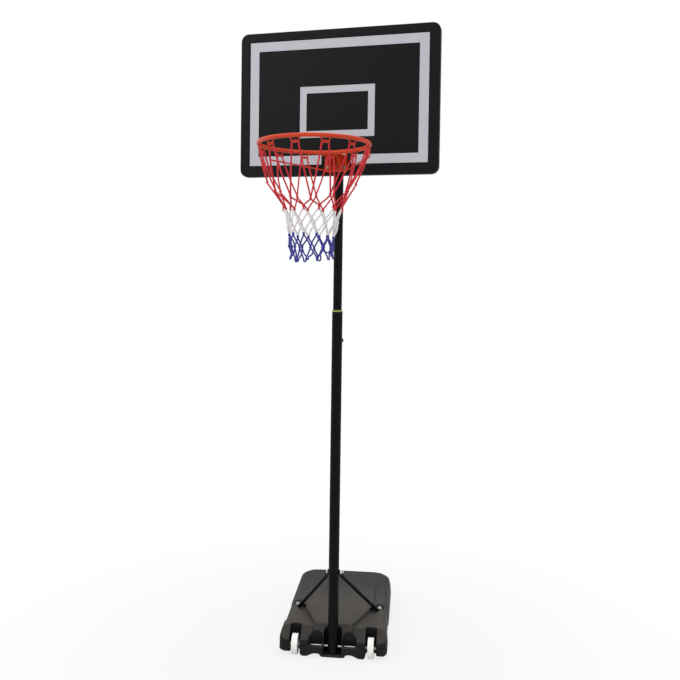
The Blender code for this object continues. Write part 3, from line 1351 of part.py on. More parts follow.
class NetMesh:
    """Points and faces of the net as it is tied."""

    def __init__(self):
        self.points = []
        self.faces = []

    def add(self, point):
        self.points.append(tuple(point))
        return len(self.points) - 1

    def least_twist(self, first, second):
        """List a ring's points in the order that twists the cord least from the ring before it."""
        orders = []
        for ring in (second, second[::-1]):
            orders += [ring[shift:] + ring[:shift] for shift in range(len(ring))]

        def twist(order):
            return sum((Vector(self.points[a]) - Vector(self.points[b])).length for a, b in zip(first, order))

        return min(orders, key=twist)

    def bridge(self, first, second):
        """Skin the cord between two rings of points."""
        second = self.least_twist(first, second)
        for step in range(len(first)):
            after = (step + 1) % len(first)
            self.faces.append((first[step], first[after], second[after], second[step]))
        return second

    def section(self, centre, along):
        """Six points round the cord at a bend, two of them at its front and back."""
        out = Vector((centre.x, centre.y - RIM_CENTRE_Y, 0)).normalized()
        across = along.cross(out).normalized()
        out = across.cross(along).normalized()
        ring = []
        for step in range(6):
            angle = math.radians(60 * step)
            spoke = out * math.cos(angle) + across * math.sin(angle)
            ring.append(self.add(centre + spoke * NET_CORD_RADIUS))
        return ring

    def cord(self, start, start_face, end, end_face, bends=()):
        """Tie a cord from one knot's port to another's, round any bends on its way."""
        route = [start.centre, *bends, end.centre]
        ring = start.port(start_face)
        for before, point, after in zip(route, bends, route[2:]):
            along = (point - before).normalized() + (after - point).normalized()
            ring = self.bridge(ring, self.section(point, along.normalized()))
        self.bridge(ring, end.port(end_face))


# A knot's ports, clockwise from its upper right
UPPER_RIGHT, LOWER_RIGHT, LOWER_LEFT, UPPER_LEFT = range(4)


def make_net(upper):
    """Loops on the hooks, then rows of diamonds that end in loose tips."""
    mesh = NetMesh()
    step = 360.0 / HOOK_COUNT
    rows = []
    above = (NET_SEAT_RADIUS, RIM_HEIGHT - HOOK_BAR_HEIGHT)
    for row, (length_share, radius_share) in enumerate(NET_ROWS):
        drop = NET_LENGTH * length_share
        radius = RIM_RADIUS * radius_share
        slope = (above[0] - radius) / (drop - above[1])
        shift = 0.5 if row % 2 == 0 else 0.0
        angles = [HOOK_FIRST_ANGLE + step * (column + shift) for column in range(HOOK_COUNT)]
        rows.append([Knot(mesh, angle, radius, RIM_HEIGHT - drop, slope) for angle in angles])
        above = (radius, drop)
    half = hook_offset(HOOK_BAR_WIDTH)
    for column, knot in enumerate(rows[0]):
        hook = HOOK_FIRST_ANGLE + step * (column + 1)
        bends = [rim_point(hook + side * half, NET_SEAT_RADIUS, HOOK_BAR_HEIGHT) for side in (-1, 1)]
        mesh.cord(knot, UPPER_RIGHT, rows[0][(column + 1) % HOOK_COUNT], UPPER_LEFT, bends)
    for row in range(1, len(rows)):
        for column, knot in enumerate(rows[row - 1]):
            shifted = row % 2 == 1
            right = (column + 1) % HOOK_COUNT if shifted else column
            left = column if shifted else (column - 1) % HOOK_COUNT
            mesh.cord(knot, LOWER_RIGHT, rows[row][right], UPPER_LEFT)
            mesh.cord(knot, LOWER_LEFT, rows[row][left], UPPER_RIGHT)
    for knot in rows[-1]:
        for face in (LOWER_RIGHT, LOWER_LEFT):
            mesh.faces.append(tuple(knot.port(face)))
    make("net", (mesh.points, mesh.faces), net_cord(), parent=upper)


def main():
    for leftover in list(bpy.data.objects):
        bpy.data.objects.remove(leftover, do_unlink=True)
    base = group("base", (0, 0, 0))
    make_tank(base)
    make_water(base)
    make_filler(base)
    make_wheels(base)
    make_lower_poles(base)
    make_struts(base)
    make_lock(base)
    slide = group("height_slide", (0, 0, 0), base)
    upper = group("upper_turn", (0, 0, 0), slide)
    make_top_pole(slide, upper)
    make_board(upper)
    make_stripes(upper)
    make_saddles(upper)
    make_rim(upper)
    make_bracket(upper)
    make_braces(upper)
    make_rim_bolts(upper)
    make_net(upper)
    base.rotation_euler.z = BASE_TURN
    upper.rotation_euler.z = -BASE_TURN


if __name__ == "__main__":
    main()
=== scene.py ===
"""Portable basketball stand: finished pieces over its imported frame, with a plain studio.

All sizes are in metres. The stand faces -Y, X runs to the right and the pole's axis meets the floor at the
origin. Each operator makes one piece or one group of like pieces.
"""
import json
import math
import random

import bmesh
import bpy
from bpy.props import FloatProperty, FloatVectorProperty, IntProperty, PointerProperty
from mathutils import Matrix, Vector


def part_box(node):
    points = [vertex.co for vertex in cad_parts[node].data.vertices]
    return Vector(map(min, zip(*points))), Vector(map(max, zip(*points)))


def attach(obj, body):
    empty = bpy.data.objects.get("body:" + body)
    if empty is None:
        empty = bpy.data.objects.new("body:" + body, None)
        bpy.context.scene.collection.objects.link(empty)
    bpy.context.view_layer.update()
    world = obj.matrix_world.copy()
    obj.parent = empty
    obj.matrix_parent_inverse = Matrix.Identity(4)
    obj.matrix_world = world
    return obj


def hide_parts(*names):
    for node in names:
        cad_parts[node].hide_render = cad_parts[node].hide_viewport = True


bl_info = {
    "name": "Portable Basketball Stand",
    "version": (1, 0, 0),
    "blender": (4, 5, 0),
    "location": "View3D > Sidebar > Hoop Stand",
    "description": "Finished pieces and studio for a wheeled basketball stand",
    "category": "Add Mesh",
}

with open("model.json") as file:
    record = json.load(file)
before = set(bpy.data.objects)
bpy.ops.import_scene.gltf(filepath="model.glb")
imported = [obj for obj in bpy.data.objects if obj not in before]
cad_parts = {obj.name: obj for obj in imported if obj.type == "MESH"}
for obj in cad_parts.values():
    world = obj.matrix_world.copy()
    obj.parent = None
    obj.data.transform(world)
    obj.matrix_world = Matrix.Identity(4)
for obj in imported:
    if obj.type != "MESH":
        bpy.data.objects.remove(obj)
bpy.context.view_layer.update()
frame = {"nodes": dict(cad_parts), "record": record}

# Sides of the stand, seen from the front
SIDES = (("left", -1), ("right", 1))

# How far the base stands turned about the pole's axis, the bodies that it carries, and each solid's body
BASE_TURN = math.radians(9)
BASE_BODIES = {"base", "wheel_left", "wheel_right", "filler", "lock_screw", "lock_knob"}
BODY_OF = {node: body for body, nodes in frame["record"]["behaviour"]["bodies"].items() for node in nodes}

# Play between pieces that fit together, and the smallest radius of a turned shape that closes at its own axis
GAP = 0.0003
NEAR_AXIS = 0.0005

# Corners of a solid closer than this are one corner, and faces that turn less than this are one face
SAME_CORNER = 0.000005
FLAT_ANGLE = math.radians(0.3)
# An edge of a solid that turns more than this is kept or rounded
SHARP_ANGLE = math.radians(30)

# Base tank and its filler neck
TANK_REAR = 0.690
TANK_FACES_KEPT = 0.45
FILLER_HEIGHT = 0.066
FILLER_BORE_RADIUS = 0.018
FILLER_BLIND_DEPTH = 0.0185
FILLER_FLOOR = 0.006
FILLER_FLOOR_MARGIN = 0.002
SEAM_HEIGHT = 0.035
# Its top carries painted light: full up to the first distance behind the pole, and only this share of it from
# the second
PALE_TO = 0.24
DARK_FROM = 0.52
PALE_LEFT = 0.08
# The top has no painted light behind this distance, as dark as the sides, with a short blend before and after
# it
DARK_EDGE = 0.650
DARK_EDGE_BLEND = 0.006
# Painted shade in hollows: how far from a hollow its walls are looked for, and how open it is where the
# shade is darkest and where there is none
HOLLOW_REACH = 0.040
HOLLOW_OPEN = (0.45, 0.92)
# How dark the painted shade in hollows and round the strut feet gets, as a share of the tank's colour
HOLLOW_SHADE = 0.25

# Wheels and axle
WHEEL_RADIUS = 0.040
WHEEL_HALF_WIDTH = 0.012
WHEEL_HUB_RADIUS = 0.011
WHEEL_RIM_THICKNESS = 0.006
WHEEL_WEB_HALF = 0.004
WHEEL_FLANK_RUN = 0.001
WHEEL_SPOKES = 6
SPOKE_HALF_WIDTH = 0.0012
SPOKE_INSET = 0.002
SPOKE_OVERLAP = 0.001
GROOVE_DEPTH = 0.0009
GROOVE_HALF_WIDTH = 0.0016
GROOVE_FLOOR_HALF = 0.0008
AXLE_RADIUS = 0.004
AXLE_HEIGHT = 0.042
WHEEL_X = 0.1535
AXLE_CAP_RADIUS = 0.008

# Pole tubes
LOWER_POLE_RADIUS = 0.021
UPPER_POLE_RADIUS = 0.0175
MIDDLE_POLE_TOP = 1.394
BUSH_INSET = 0.0015
END_CAP_SEAT = 2.4003
END_CAP_PLUG_RADIUS = 0.0160

# Struts
STRUT_RADIUS = 0.0075
STRUT_TOP = Vector((0.02305, 0.0, 0.345))
STRUT_FOOT = Vector((0.178, 0.245, 0.10205))
STRUT_FLAT_HALF_WIDTH = 0.0105
STRUT_FLAT_HALF_THICK = 0.00175
STRUT_FLAT_LENGTH = 0.016
STRUT_FLARE = 0.022
# A section's roundness is 1 in the tube; in the pressed flats it is this, which squares the corners
PRESSED_ROUNDNESS = 0.45
# How far along a flat's rounded tip its sections lie, as shares of its half width
TIP_SHARES = (0.0, 0.45, 0.72, 0.90, 0.99)
# The painted shadow on the tank round each strut's foot, which reaches behind the recess there: its radius,
# where it starts and ends to fade as shares of that, the share at which lengths from front to back count,
# which draws it out that way, where its middle lies from the bolt, and its light
FOOT_SHADE = 0.021
FOOT_SHADE_FADE = (0.85, 1.30)
FOOT_SHADE_STRETCH = 0.72
FOOT_SHADE_INBOARD = 0.004
FOOT_SHADE_BEHIND = 0.010
FOOT_SHADE_LIGHT = 0.10

# Height lock
LOCK_HEIGHT = 1.276
KNOB_SEAT = 0.0398
KNOB_RADIUS = 0.022
KNOB_THICKNESS = 0.018
KNOB_LOBES = 5
KNOB_LOBE_DEPTH = 0.0035
KNOB_LOBE_REACH = 0.012
KNOB_EDGE = 0.0038

# Hoop
HOOP_RADIUS = 0.1965
HOOP_ROD_RADIUS = 0.0075
HOOP_HEIGHT = 2.002
HOOP_CENTRE_Y = -0.364
HOOK_COUNT = 12
HOOK_FIRST_ANGLE = -3.0
HOOK_ROOT_HALF_WIDTH = 0.0175
HOOK_BAR_HALF_WIDTH = 0.0105
HOOK_WIRE_RADIUS = 0.002
HOOK_BAR_HEIGHT = 1.9785
PLATE_BACK_Y = -0.0523
PLATE_BOTTOM = 1.942
PLATE_HALF_WIDTH = 0.045
TONGUE_HALF_WIDTH = 0.040
TONGUE_SHEET = 0.003
BRACE_RADIUS = 0.003
BRACE_ANGLE = 108.0
BRACE_DROP = 0.034

# Net: (drop below the hoop's rod, radius) of each row of knots
NET_ROWS = (
    (0.1751, 0.1375),
    (0.2254, 0.1045),
    (0.2732, 0.0915),
    (0.3214, 0.0810),
    (0.3630, 0.0785),
    (0.4120, 0.0750),
)
# How far each row hangs to the right of the hoop's middle
ROW_LEAN = (0.0, 0.0, -0.002, -0.005, -0.003, -0.001)
# The same for each knot of the first row, from the front to the right: stiff loops stand out at the sides
TOP_KNOTS = (
    (0.203, 0.134), (0.187, 0.132), (0.172, 0.135), (0.140, 0.150), (0.158, 0.137), (0.166, 0.131),
    (0.168, 0.135), (0.174, 0.138), (0.160, 0.147), (0.135, 0.166), (0.172, 0.148), (0.195, 0.140),
)
# Where the foot of the net is bunched up: its angle, radius and drop, and how strongly it draws each row
BUNCH = (80.0, 0.074, 0.372)
BUNCH_REACH = 50.0
BUNCH_PULL = (0.0, 0.0, 0.08, 0.28, 0.55, 0.60)
# How much of the net's slack each row has
ROW_SLACK = (0.15, 0.25, 0.45, 0.60, 0.85, 1.0)
KNOT_TURNS = 1.5
KNOT_STEPS = 16

# Fasteners
BOLT_RADIUS = 0.0040
HEX_FLAT = 0.0065
HEAD_HEIGHT = 0.0053
THREAD_PITCH = 0.00125
THREAD_DEPTH = 0.0004
THREAD_TIP = 0.0008
# The flat's share at which a hexagon's corners are cut to a cone
HEX_CUT = 0.94
SCREW_RADIUS = 0.0022
SCREW_PITCH = 0.0010
SCREW_HEAD_RADIUS = 0.0045
SCREW_HEAD_HEIGHT = 0.0030
RECESS_HALF_WIDTH = 0.00055
RECESS_DEPTH = 0.0011
RECESS_SHARE = 0.52
# A pan head from its seat to its middle: (share of its radius, share of its height)
PAN_HEAD = (
    (1.0, 0.0), (1.0, 0.35), (0.93, 0.70), (0.80, 0.88), (0.64, 0.96), (0.5, 0.99), (0.42, 1.0), (0.30, 1.0),
    (0.16, 1.0), (0.06, 1.0),
)

# Studio: half the floor's side, its grey, where its shadow fades to white and how white it starts
FLOOR_HALF = 40.0
FLOOR_GREY = 0.62
FLOOR_FADE = (0.55, 1.6)
FLOOR_GLOW = 0.80
SKY_HEIGHT = 0.8
LAMP_AIM = Vector((0.0, -0.1, 1.2))
# Each lamp's name, its setting, its width and its place
LAMPS = (
    ("key_lamp", "key", 2.4, (-2.3, -3.4, 3.9)),
    ("fill_lamp", "fill", 2.0, (3.2, -2.4, 2.0)),
    ("top_lamp", "top", 2.2, (0.4, 0.6, 5.0)),
)
SENSOR_WIDTH = 36.0
CAMERA_REACH = 200.0
WHITE = (1, 1, 1, 1)

# Turns that carry a shape's own +Z to another axis
TURNS = {
    "+x": Matrix.Rotation(math.radians(90), 3, "Y"),
    "-x": Matrix.Rotation(math.radians(-90), 3, "Y"),
    "+y": Matrix.Rotation(math.radians(-90), 3, "X"),
    "-y": Matrix.Rotation(math.radians(90), 3, "X"),
    "+z": Matrix.Identity(3),
    "-z": Matrix.Rotation(math.radians(180), 3, "X"),
}


# What a user may change

def colour(name, description, default):
    """A colour that a user may change."""
    return FloatVectorProperty(
        name=name, description=description, subtype="COLOR", size=3, min=0.0, max=1.0, default=default
    )


def length(name, description, default):
    """A length that a user may change, in metres."""
    return FloatProperty(
        name=name, description=description, subtype="DISTANCE", unit="LENGTH", min=0.0, precision=4,
        default=default,
    )


def tilt(name, description, default):
    """An angle of the camera, in radians."""
    return FloatProperty(name=name, description=description, subtype="ANGLE", default=default)


def power(name, default):
    """A lamp's power, in watts."""
    return FloatProperty(
        name=name, description=name + " lamp's power", subtype="POWER", unit="POWER", min=0.0, default=default
    )


class HoopStandColours(bpy.types.PropertyGroup):
    """Colours of the stand's finishes"""

    tank: colour("Tank", "Moulded base tank", (0.0085, 0.0083, 0.0081))
    # Painted top light: the tank's colour where it faces up, paler where light falls from above
    painted_top_light: colour("Painted top light", "The tank where it faces up", (0.0450, 0.0397, 0.0352))
    plastic: colour("Black plastic", "Caps, plugs and knob", (0.0075, 0.0075, 0.0080))
    board: colour("Board", "Moulded board", (0.0058, 0.0058, 0.0060))
    print_grey: colour("Stripes", "Printed stripes on the board", (0.490, 0.490, 0.535))
    steel: colour("Black steel", "Powder coat on poles, struts and saddles", (0.0042, 0.0040, 0.0042))
    zinc: colour("Zinc", "Plated bolts, nuts, washers and axle", (0.560, 0.555, 0.545))
    # Painted shade: zinc made darker and warmer for the bolts and nuts under the hoop's ring
    shaded_zinc: colour("Shaded zinc", "Darker bolts and nuts at the hoop", (0.300, 0.235, 0.170))
    enamel: colour("Hoop", "Paint on the hoop and its bracket", (0.570, 0.044, 0.006))
    wheel: colour("Wheels", "Moulded wheels", (0.900, 0.885, 0.860))
    bush: colour("Bush", "Bush in the middle pole's top", (0.300, 0.320, 0.070))
    net_top: colour("Net top", "Upper third of the net", (0.600, 0.014, 0.024))
    net_middle: colour("Net middle", "Middle third of the net", (0.780, 0.760, 0.750))
    net_foot: colour("Net foot", "Lower third of the net", (0.042, 0.047, 0.320))


class HoopStandSizes(bpy.types.PropertyGroup):
    """Sizes of the finished details"""

    tank_grid: length("Tank grid", "Mesh size of the moulded tank", 0.003)
    tank_rounds: IntProperty(
        name="Tank rounding", description="Smoothing passes over the moulded tank", min=0, max=40, default=5
    )
    cord_radius: length("Cord radius", "Radius of the net's cord", 0.0029)
    net_slack: length("Net slack", "How far the net's lower knots stray from even rows", 0.0050)
    net_seed: IntProperty(name="Net seed", description="Picks how the net hangs", min=0, default=7)
    weld_bead: length("Weld bead", "Radius of the weld beads on the hoop", 0.0024)
    edge_round: length("Edge rounding", "Rounding of pressed and moulded edges", 0.0007)


class HoopStandStudio(bpy.types.PropertyGroup):
    """Camera and light"""

    place: FloatVectorProperty(
        name="Camera place", description="Where the camera stands", subtype="TRANSLATION", unit="LENGTH",
        size=3, default=(0.8038, -3.1543, 1.5403),
    )
    yaw: tilt("Yaw", "Camera's turn to the left", 0.2618)
    pitch: tilt("Pitch", "Camera's tilt up", -0.0320)
    roll: tilt("Roll", "Camera's turn about its axis", 0.0132)
    lens: FloatProperty(
        name="Lens", description="Focal length on a 36 mm sensor", subtype="DISTANCE_CAMERA", unit="CAMERA",
        default=43.22,
    )
    shift_x: FloatProperty(name="Shift X", description="Sideways shift of the picture", default=0.0184)
    shift_y: FloatProperty(name="Shift Y", description="Upward shift of the picture", default=-0.0572)
    sky: FloatProperty(name="Sky", description="Strength of the light from above", min=0.0, default=0.95)
    horizon: FloatProperty(
        name="Horizon", description="Strength of the light from the sides", min=0.0, default=0.45
    )
    key: power("Key", 70.0)
    fill: power("Fill", 18.0)
    top: power("Top", 40.0)


# Shader nodes

class Graph:
    """A node tree, with short calls that add nodes from left to right and join them."""

    def __init__(self, tree):
        self.tree = tree
        self.column = -8

    def add(self, kind, values=None, **settings):
        node = self.tree.nodes.new(kind)
        node.location = (self.column * 190, -120 * (self.column % 3))
        self.column += 1
        for setting, value in settings.items():
            setattr(node, setting, value)
        for socket, value in (values or {}).items():
            self.put(node.inputs[socket], value)
        return node

    def put(self, socket, value):
        if isinstance(value, bpy.types.NodeSocket):
            self.tree.links.new(value, socket)
        else:
            socket.default_value = value

    def math(self, operation, *values, clamp=False):
        node = self.add("ShaderNodeMath", dict(enumerate(values)), operation=operation, use_clamp=clamp)
        return node.outputs[0]

    def mix(self, factor, first, second):
        values = {0: factor, 6: first, 7: second}
        return self.add("ShaderNodeMix", values, data_type="RGBA").outputs[2]

    def over(self, body, mask, share, colour):
        """Lay a colour over a body by a share of a mask."""
        return self.mix(self.math("MULTIPLY", mask, share), body, colour)

    def remap(self, value, low, high, to_low=0.0, to_high=1.0):
        """Carry a value between low and high to one between two others, and hold it there."""
        values = {"Value": value, "From Min": low, "From Max": high, "To Min": to_low, "To Max": to_high}
        return self.add("ShaderNodeMapRange", values).outputs["Result"]

    def spread(self, value, low, high):
        """Carry a value between 0 and 1 to one between low and high."""
        return self.remap(value, 0.0, 1.0, low, high)

    def noise(self, where, scale, detail=3.0, roughness=0.5):
        values = {"Vector": where, "Scale": scale, "Detail": detail, "Roughness": roughness}
        return self.add("ShaderNodeTexNoise", values).outputs["Fac"]

    def bump(self, height, strength, distance):
        values = {"Height": height, "Strength": strength, "Distance": distance}
        return self.add("ShaderNodeBump", values).outputs["Normal"]

    def effect(self, tree, **values):
        node = self.add("ShaderNodeGroup", node_tree=tree)
        for socket, value in values.items():
            self.put(node.inputs[socket.replace("_", " ").title()], value)
        return node.outputs


def effect_group(name, inputs, outputs, build):
    """Return the named node group, made on first use. Inputs are (label, default); build returns outputs."""
    tree = bpy.data.node_groups.get(name)
    if tree:
        return tree
    tree = bpy.data.node_groups.new(name, "ShaderNodeTree")
    for label, default in inputs:
        socket = tree.interface.new_socket(label, in_out="INPUT", socket_type="NodeSocketFloat")
        socket.default_value = default
    for label in outputs:
        tree.interface.new_socket(label, in_out="OUTPUT", socket_type="NodeSocketFloat")
    graph = Graph(tree)
    given = graph.add("NodeGroupInput").outputs
    results = build(graph, given)
    graph.add("NodeGroupOutput", dict(zip(outputs, results)))
    return tree


def grain():
    """Fine surface grain, and slow changes of tone over the piece."""

    def build(graph, given):
        where = graph.add("ShaderNodeTexCoord").outputs["Object"]
        fine = graph.math("DIVIDE", 1.0, given["Grain Size"])
        broad = graph.math("DIVIDE", 1.0, given["Patch Size"])
        height = graph.noise(where, fine, detail=2.0, roughness=0.45)
        tone = graph.noise(where, broad, detail=5.0, roughness=0.6)
        return height, graph.spread(tone, -0.25, 1.25)

    inputs = (("Grain Size", 0.001), ("Patch Size", 0.1))
    return effect_group("Surface grain", inputs, ("Height", "Tone"), build)


def edge_wear():
    """Where edges stick out, broken up as by handling."""

    def build(graph, given):
        soft = graph.add("ShaderNodeBevel", {"Radius": given["Width"]}, samples=4).outputs["Normal"]
        geometry = graph.add("ShaderNodeNewGeometry").outputs
        turn = graph.add("ShaderNodeVectorMath", {0: soft, 1: geometry["Normal"]}, operation="DOT_PRODUCT")
        bend = graph.math("SUBTRACT", 1.0, turn.outputs["Value"])
        edge = graph.math("MULTIPLY", bend, 5.0, clamp=True)
        where = graph.add("ShaderNodeTexCoord").outputs["Object"]
        broken = graph.noise(where, graph.math("DIVIDE", 1.0, given["Patch Size"]), detail=4.0)
        patches = graph.remap(broken, 0.42, 0.62)
        return (graph.math("MULTIPLY", edge, patches, clamp=True),)

    return effect_group("Edge wear", (("Width", 0.001), ("Patch Size", 0.02)), ("Mask",), build)


def facing_up():
    """Surfaces that face up, with uneven borders, where the tank's painted top light goes."""

    def build(graph, given):
        normal = graph.add("ShaderNodeNewGeometry").outputs["Normal"]
        up = graph.add("ShaderNodeSeparateXYZ", {0: normal}).outputs["Z"]
        where = graph.add("ShaderNodeTexCoord").outputs["Object"]
        patch = graph.noise(where, graph.math("DIVIDE", 1.0, given["Patch Size"]), detail=5.0, roughness=0.6)
        uneven = graph.math("ADD", up, graph.math("MULTIPLY", graph.math("SUBTRACT", patch, 0.5), 0.35))
        return (graph.remap(uneven, given["Start"], 1.0),)

    return effect_group("Facing up", (("Start", 0.2), ("Patch Size", 0.1)), ("Mask",), build)


def settled_dust():
    """Dust on surfaces that face up, thicker in patches."""

    def build(graph, given):
        normal = graph.add("ShaderNodeNewGeometry").outputs["Normal"]
        up = graph.add("ShaderNodeSeparateXYZ", {0: normal}).outputs["Z"]
        facing = graph.math("POWER", graph.math("MAXIMUM", up, 0.0), 3.0)
        where = graph.add("ShaderNodeTexCoord").outputs["Object"]
        patch = graph.noise(where, graph.math("DIVIDE", 1.0, given["Patch Size"]), detail=6.0, roughness=0.65)
        return (graph.math("MULTIPLY", facing, graph.math("MULTIPLY", patch, given["Amount"]), clamp=True),)

    return effect_group("Settled dust", (("Amount", 0.2), ("Patch Size", 0.08)), ("Mask",), build)


def rub_marks():
    """Long fine marks that run up and down a piece."""

    def build(graph, given):
        where = graph.add("ShaderNodeTexCoord").outputs["Object"]
        thin = graph.math("DIVIDE", 1.0, given["Width"])
        long = graph.math("DIVIDE", 1.0, given["Length"])
        stretch = graph.add("ShaderNodeCombineXYZ", {0: thin, 1: thin, 2: long}).outputs[0]
        stretched = graph.add("ShaderNodeVectorMath", {0: where, 1: stretch}, operation="MULTIPLY").outputs[0]
        marks = graph.noise(stretched, 1.0, detail=3.0, roughness=0.7)
        return (graph.remap(marks, 0.60, 0.75),)

    return effect_group("Rub marks", (("Width", 0.0008), ("Length", 0.03)), ("Mask",), build)


def braid():
    """Two sets of strands that cross along a cord, from its map: round it in X, metres along it in Y."""

    def build(graph, given):
        spot = graph.add("ShaderNodeSeparateXYZ", {0: graph.add("ShaderNodeUVMap").outputs[0]}).outputs
        around = graph.math("MULTIPLY", spot["X"], 4.0 * math.tau)
        along = graph.math("MULTIPLY", graph.math("DIVIDE", spot["Y"], given["Pitch"]), math.tau)
        one = graph.math("SINE", graph.math("ADD", around, along))
        other = graph.math("SINE", graph.math("SUBTRACT", around, along))
        strands = graph.spread(graph.math("MAXIMUM", one, other), 0.0, 1.0)
        where = graph.add("ShaderNodeTexCoord").outputs["Object"]
        fuzz = graph.noise(where, 2600.0, detail=2.0)
        height = graph.math("ADD", strands, graph.math("MULTIPLY", fuzz, given["Fuzz"]))
        return height, graph.noise(where, 30.0, detail=4.0)

    return effect_group("Braided cord", (("Pitch", 0.009), ("Fuzz", 0.5)), ("Height", "Tone"), build)


# Finishes

def shaded(rgb, factor):
    """A colour made darker or paler by a factor, for a colour socket."""
    return (rgb[0] * factor, rgb[1] * factor, rgb[2] * factor, 1.0)


def finish(name, build, **values):
    """Return the named material, made on first use by a function that joins its nodes."""
    made = bpy.data.materials.get(name)
    if made:
        return made
    made = bpy.data.materials.new(name)
    made.use_nodes = True
    graph = Graph(made.node_tree)
    shader = made.node_tree.nodes["Principled BSDF"]
    shader.location = (1900, 0)
    made.node_tree.nodes["Material Output"].location = (2200, 0)
    for socket, value in values.items():
        shader.inputs[socket.replace("_", " ")].default_value = value
    build(graph, shader.inputs)
    return made


def coloured(graph, inputs, rgb, tone, contrast, rough):
    """Join a colour that drifts with the tone, and a roughness between two values."""
    held = graph.math("MULTIPLY", tone, 1.0, clamp=True)
    mixed = graph.mix(held, shaded(rgb, 1 - contrast), shaded(rgb, 1 + contrast))
    graph.put(inputs["Roughness"], graph.spread(tone, *rough))
    return mixed


def top_light_share(graph, place):
    """How much painted top light the tank's top takes: full beside the pole, less behind it and nothing at
    its rear edge.
    """
    fade = graph.remap(place["Y"], PALE_TO, DARK_FROM, 1.0, PALE_LEFT)
    inside = graph.remap(place["Y"], DARK_EDGE + DARK_EDGE_BLEND, DARK_EDGE - DARK_EDGE_BLEND)
    return graph.math("MULTIPLY", fade, inside)


def unshaded_tank(graph, place):
    """Where the tank takes no painted shade, from a hollow or from round a strut's foot."""
    shelter = graph.add("ShaderNodeAmbientOcclusion", {"Distance": HOLLOW_REACH}, samples=8, only_local=True)
    open_part = graph.remap(shelter.outputs["AO"], *HOLLOW_OPEN)
    # Painted shadow round and behind each strut's foot
    off_middle = graph.math("ABSOLUTE", place["X"])
    aside = graph.math("SUBTRACT", off_middle, STRUT_FOOT.x - FOOT_SHADE_INBOARD)
    behind = graph.math("SUBTRACT", place["Y"], STRUT_FOOT.y + FOOT_SHADE_BEHIND)
    shortened = graph.math("MULTIPLY", behind, FOOT_SHADE_STRETCH)
    plan = graph.add("ShaderNodeCombineXYZ", {0: aside, 1: shortened}).outputs[0]
    away = graph.add("ShaderNodeVectorMath", {0: plan}, operation="LENGTH").outputs["Value"]
    dark_to, unshaded_from = (FOOT_SHADE * share for share in FOOT_SHADE_FADE)
    return graph.math("MULTIPLY", open_part, graph.remap(away, dark_to, unshaded_from, FOOT_SHADE_LIGHT))


def tank_finish(colours):
    """Blow-moulded plastic: pebbled skin, a parting seam, painted top light and shade, pale rubbed edges,
    settled dust.
    """

    def build(graph, inputs):
        skin = graph.effect(grain(), grain_size=0.0011, patch_size=0.11)
        body = coloured(graph, inputs, colours.tank, skin["Tone"], 0.12, (0.50, 0.62))
        where = graph.add("ShaderNodeTexCoord").outputs["Object"]
        values = {"Vector": where, "Angle": -BASE_TURN}
        own = graph.add("ShaderNodeVectorRotate", values, rotation_type="Z_AXIS").outputs[0]
        place = graph.add("ShaderNodeSeparateXYZ", {0: own}).outputs
        # Painted light on faces that look up, less towards the rear
        top = graph.effect(facing_up(), start=0.55, patch_size=0.12)["Mask"]
        body = graph.over(body, top, top_light_share(graph, place), shaded(colours.painted_top_light, 1.0))
        worn = graph.effect(edge_wear(), width=0.0025, patch_size=0.05)["Mask"]
        body = graph.over(body, worn, 0.22, shaded(colours.painted_top_light, 1.4))
        dust = graph.effect(settled_dust(), amount=0.06, patch_size=0.09)["Mask"]
        body = graph.mix(dust, body, (0.30, 0.28, 0.25, 1.0))
        # Painted shade in hollows and round each strut's foot
        unshaded = unshaded_tank(graph, place)
        graph.put(inputs["Base Color"], graph.mix(unshaded, shaded(colours.tank, HOLLOW_SHADE), body))
        off = graph.math("ABSOLUTE", graph.math("SUBTRACT", place["Z"], SEAM_HEIGHT))
        seam = graph.remap(off, 0.0009, 0.0003)
        height = graph.math("ADD", graph.math("MULTIPLY", skin["Height"], 0.6), seam)
        graph.put(inputs["Normal"], graph.bump(height, 0.55, 0.0005))

    return finish("Tank plastic", build, Specular_IOR_Level=0.14)


def surface(name, rgb, grains, drift, rough, bump, overlays=(), **values):
    """A material with grain, given as its two sizes, and a colour that drifts. Each overlay is an effect,
    its values, its share and its colour; the bump is a strength and a distance."""

    def build(graph, inputs):
        skin = graph.effect(grain(), grain_size=grains[0], patch_size=grains[1])
        body = coloured(graph, inputs, rgb, skin["Tone"], drift, rough)
        for effect, given, share, over in overlays:
            body = graph.over(body, graph.effect(effect(), **given)["Mask"], share, over)
        graph.put(inputs["Base Color"], body)
        graph.put(inputs["Normal"], graph.bump(skin["Height"], *bump))

    return finish(name, build, **values)


def plastic_finish(name, rgb, specular=0.14, rough=(0.42, 0.52), grain_size=0.0007):
    """Injection-moulded plastic with a fine spark texture."""
    pale = tuple(min(1.0, part * 1.5 + 0.006) for part in rgb) + (1.0,)
    worn = (edge_wear, {"width": 0.0012, "patch_size": 0.03}, 0.30, pale)
    bump = (0.4, 0.00012)
    return surface(name, rgb, (grain_size, 0.06), 0.08, rough, bump, [worn], Specular_IOR_Level=specular)


def print_finish(colours):
    """Screen print: an even grey ink with pinholes and a slight drift of tone."""

    def build(graph, inputs):
        skin = graph.effect(grain(), grain_size=0.0008, patch_size=0.20)
        body = coloured(graph, inputs, colours.print_grey, skin["Tone"], 0.035, (0.46, 0.56))
        pinholes = graph.remap(skin["Height"], 0.30, 0.20)
        graph.put(inputs["Base Color"], graph.over(body, pinholes, 0.5, shaded(colours.print_grey, 0.55)))
        graph.put(inputs["Normal"], graph.bump(skin["Height"], 0.3, 0.00008))

    return finish("Printed stripe", build, Specular_IOR_Level=0.25)


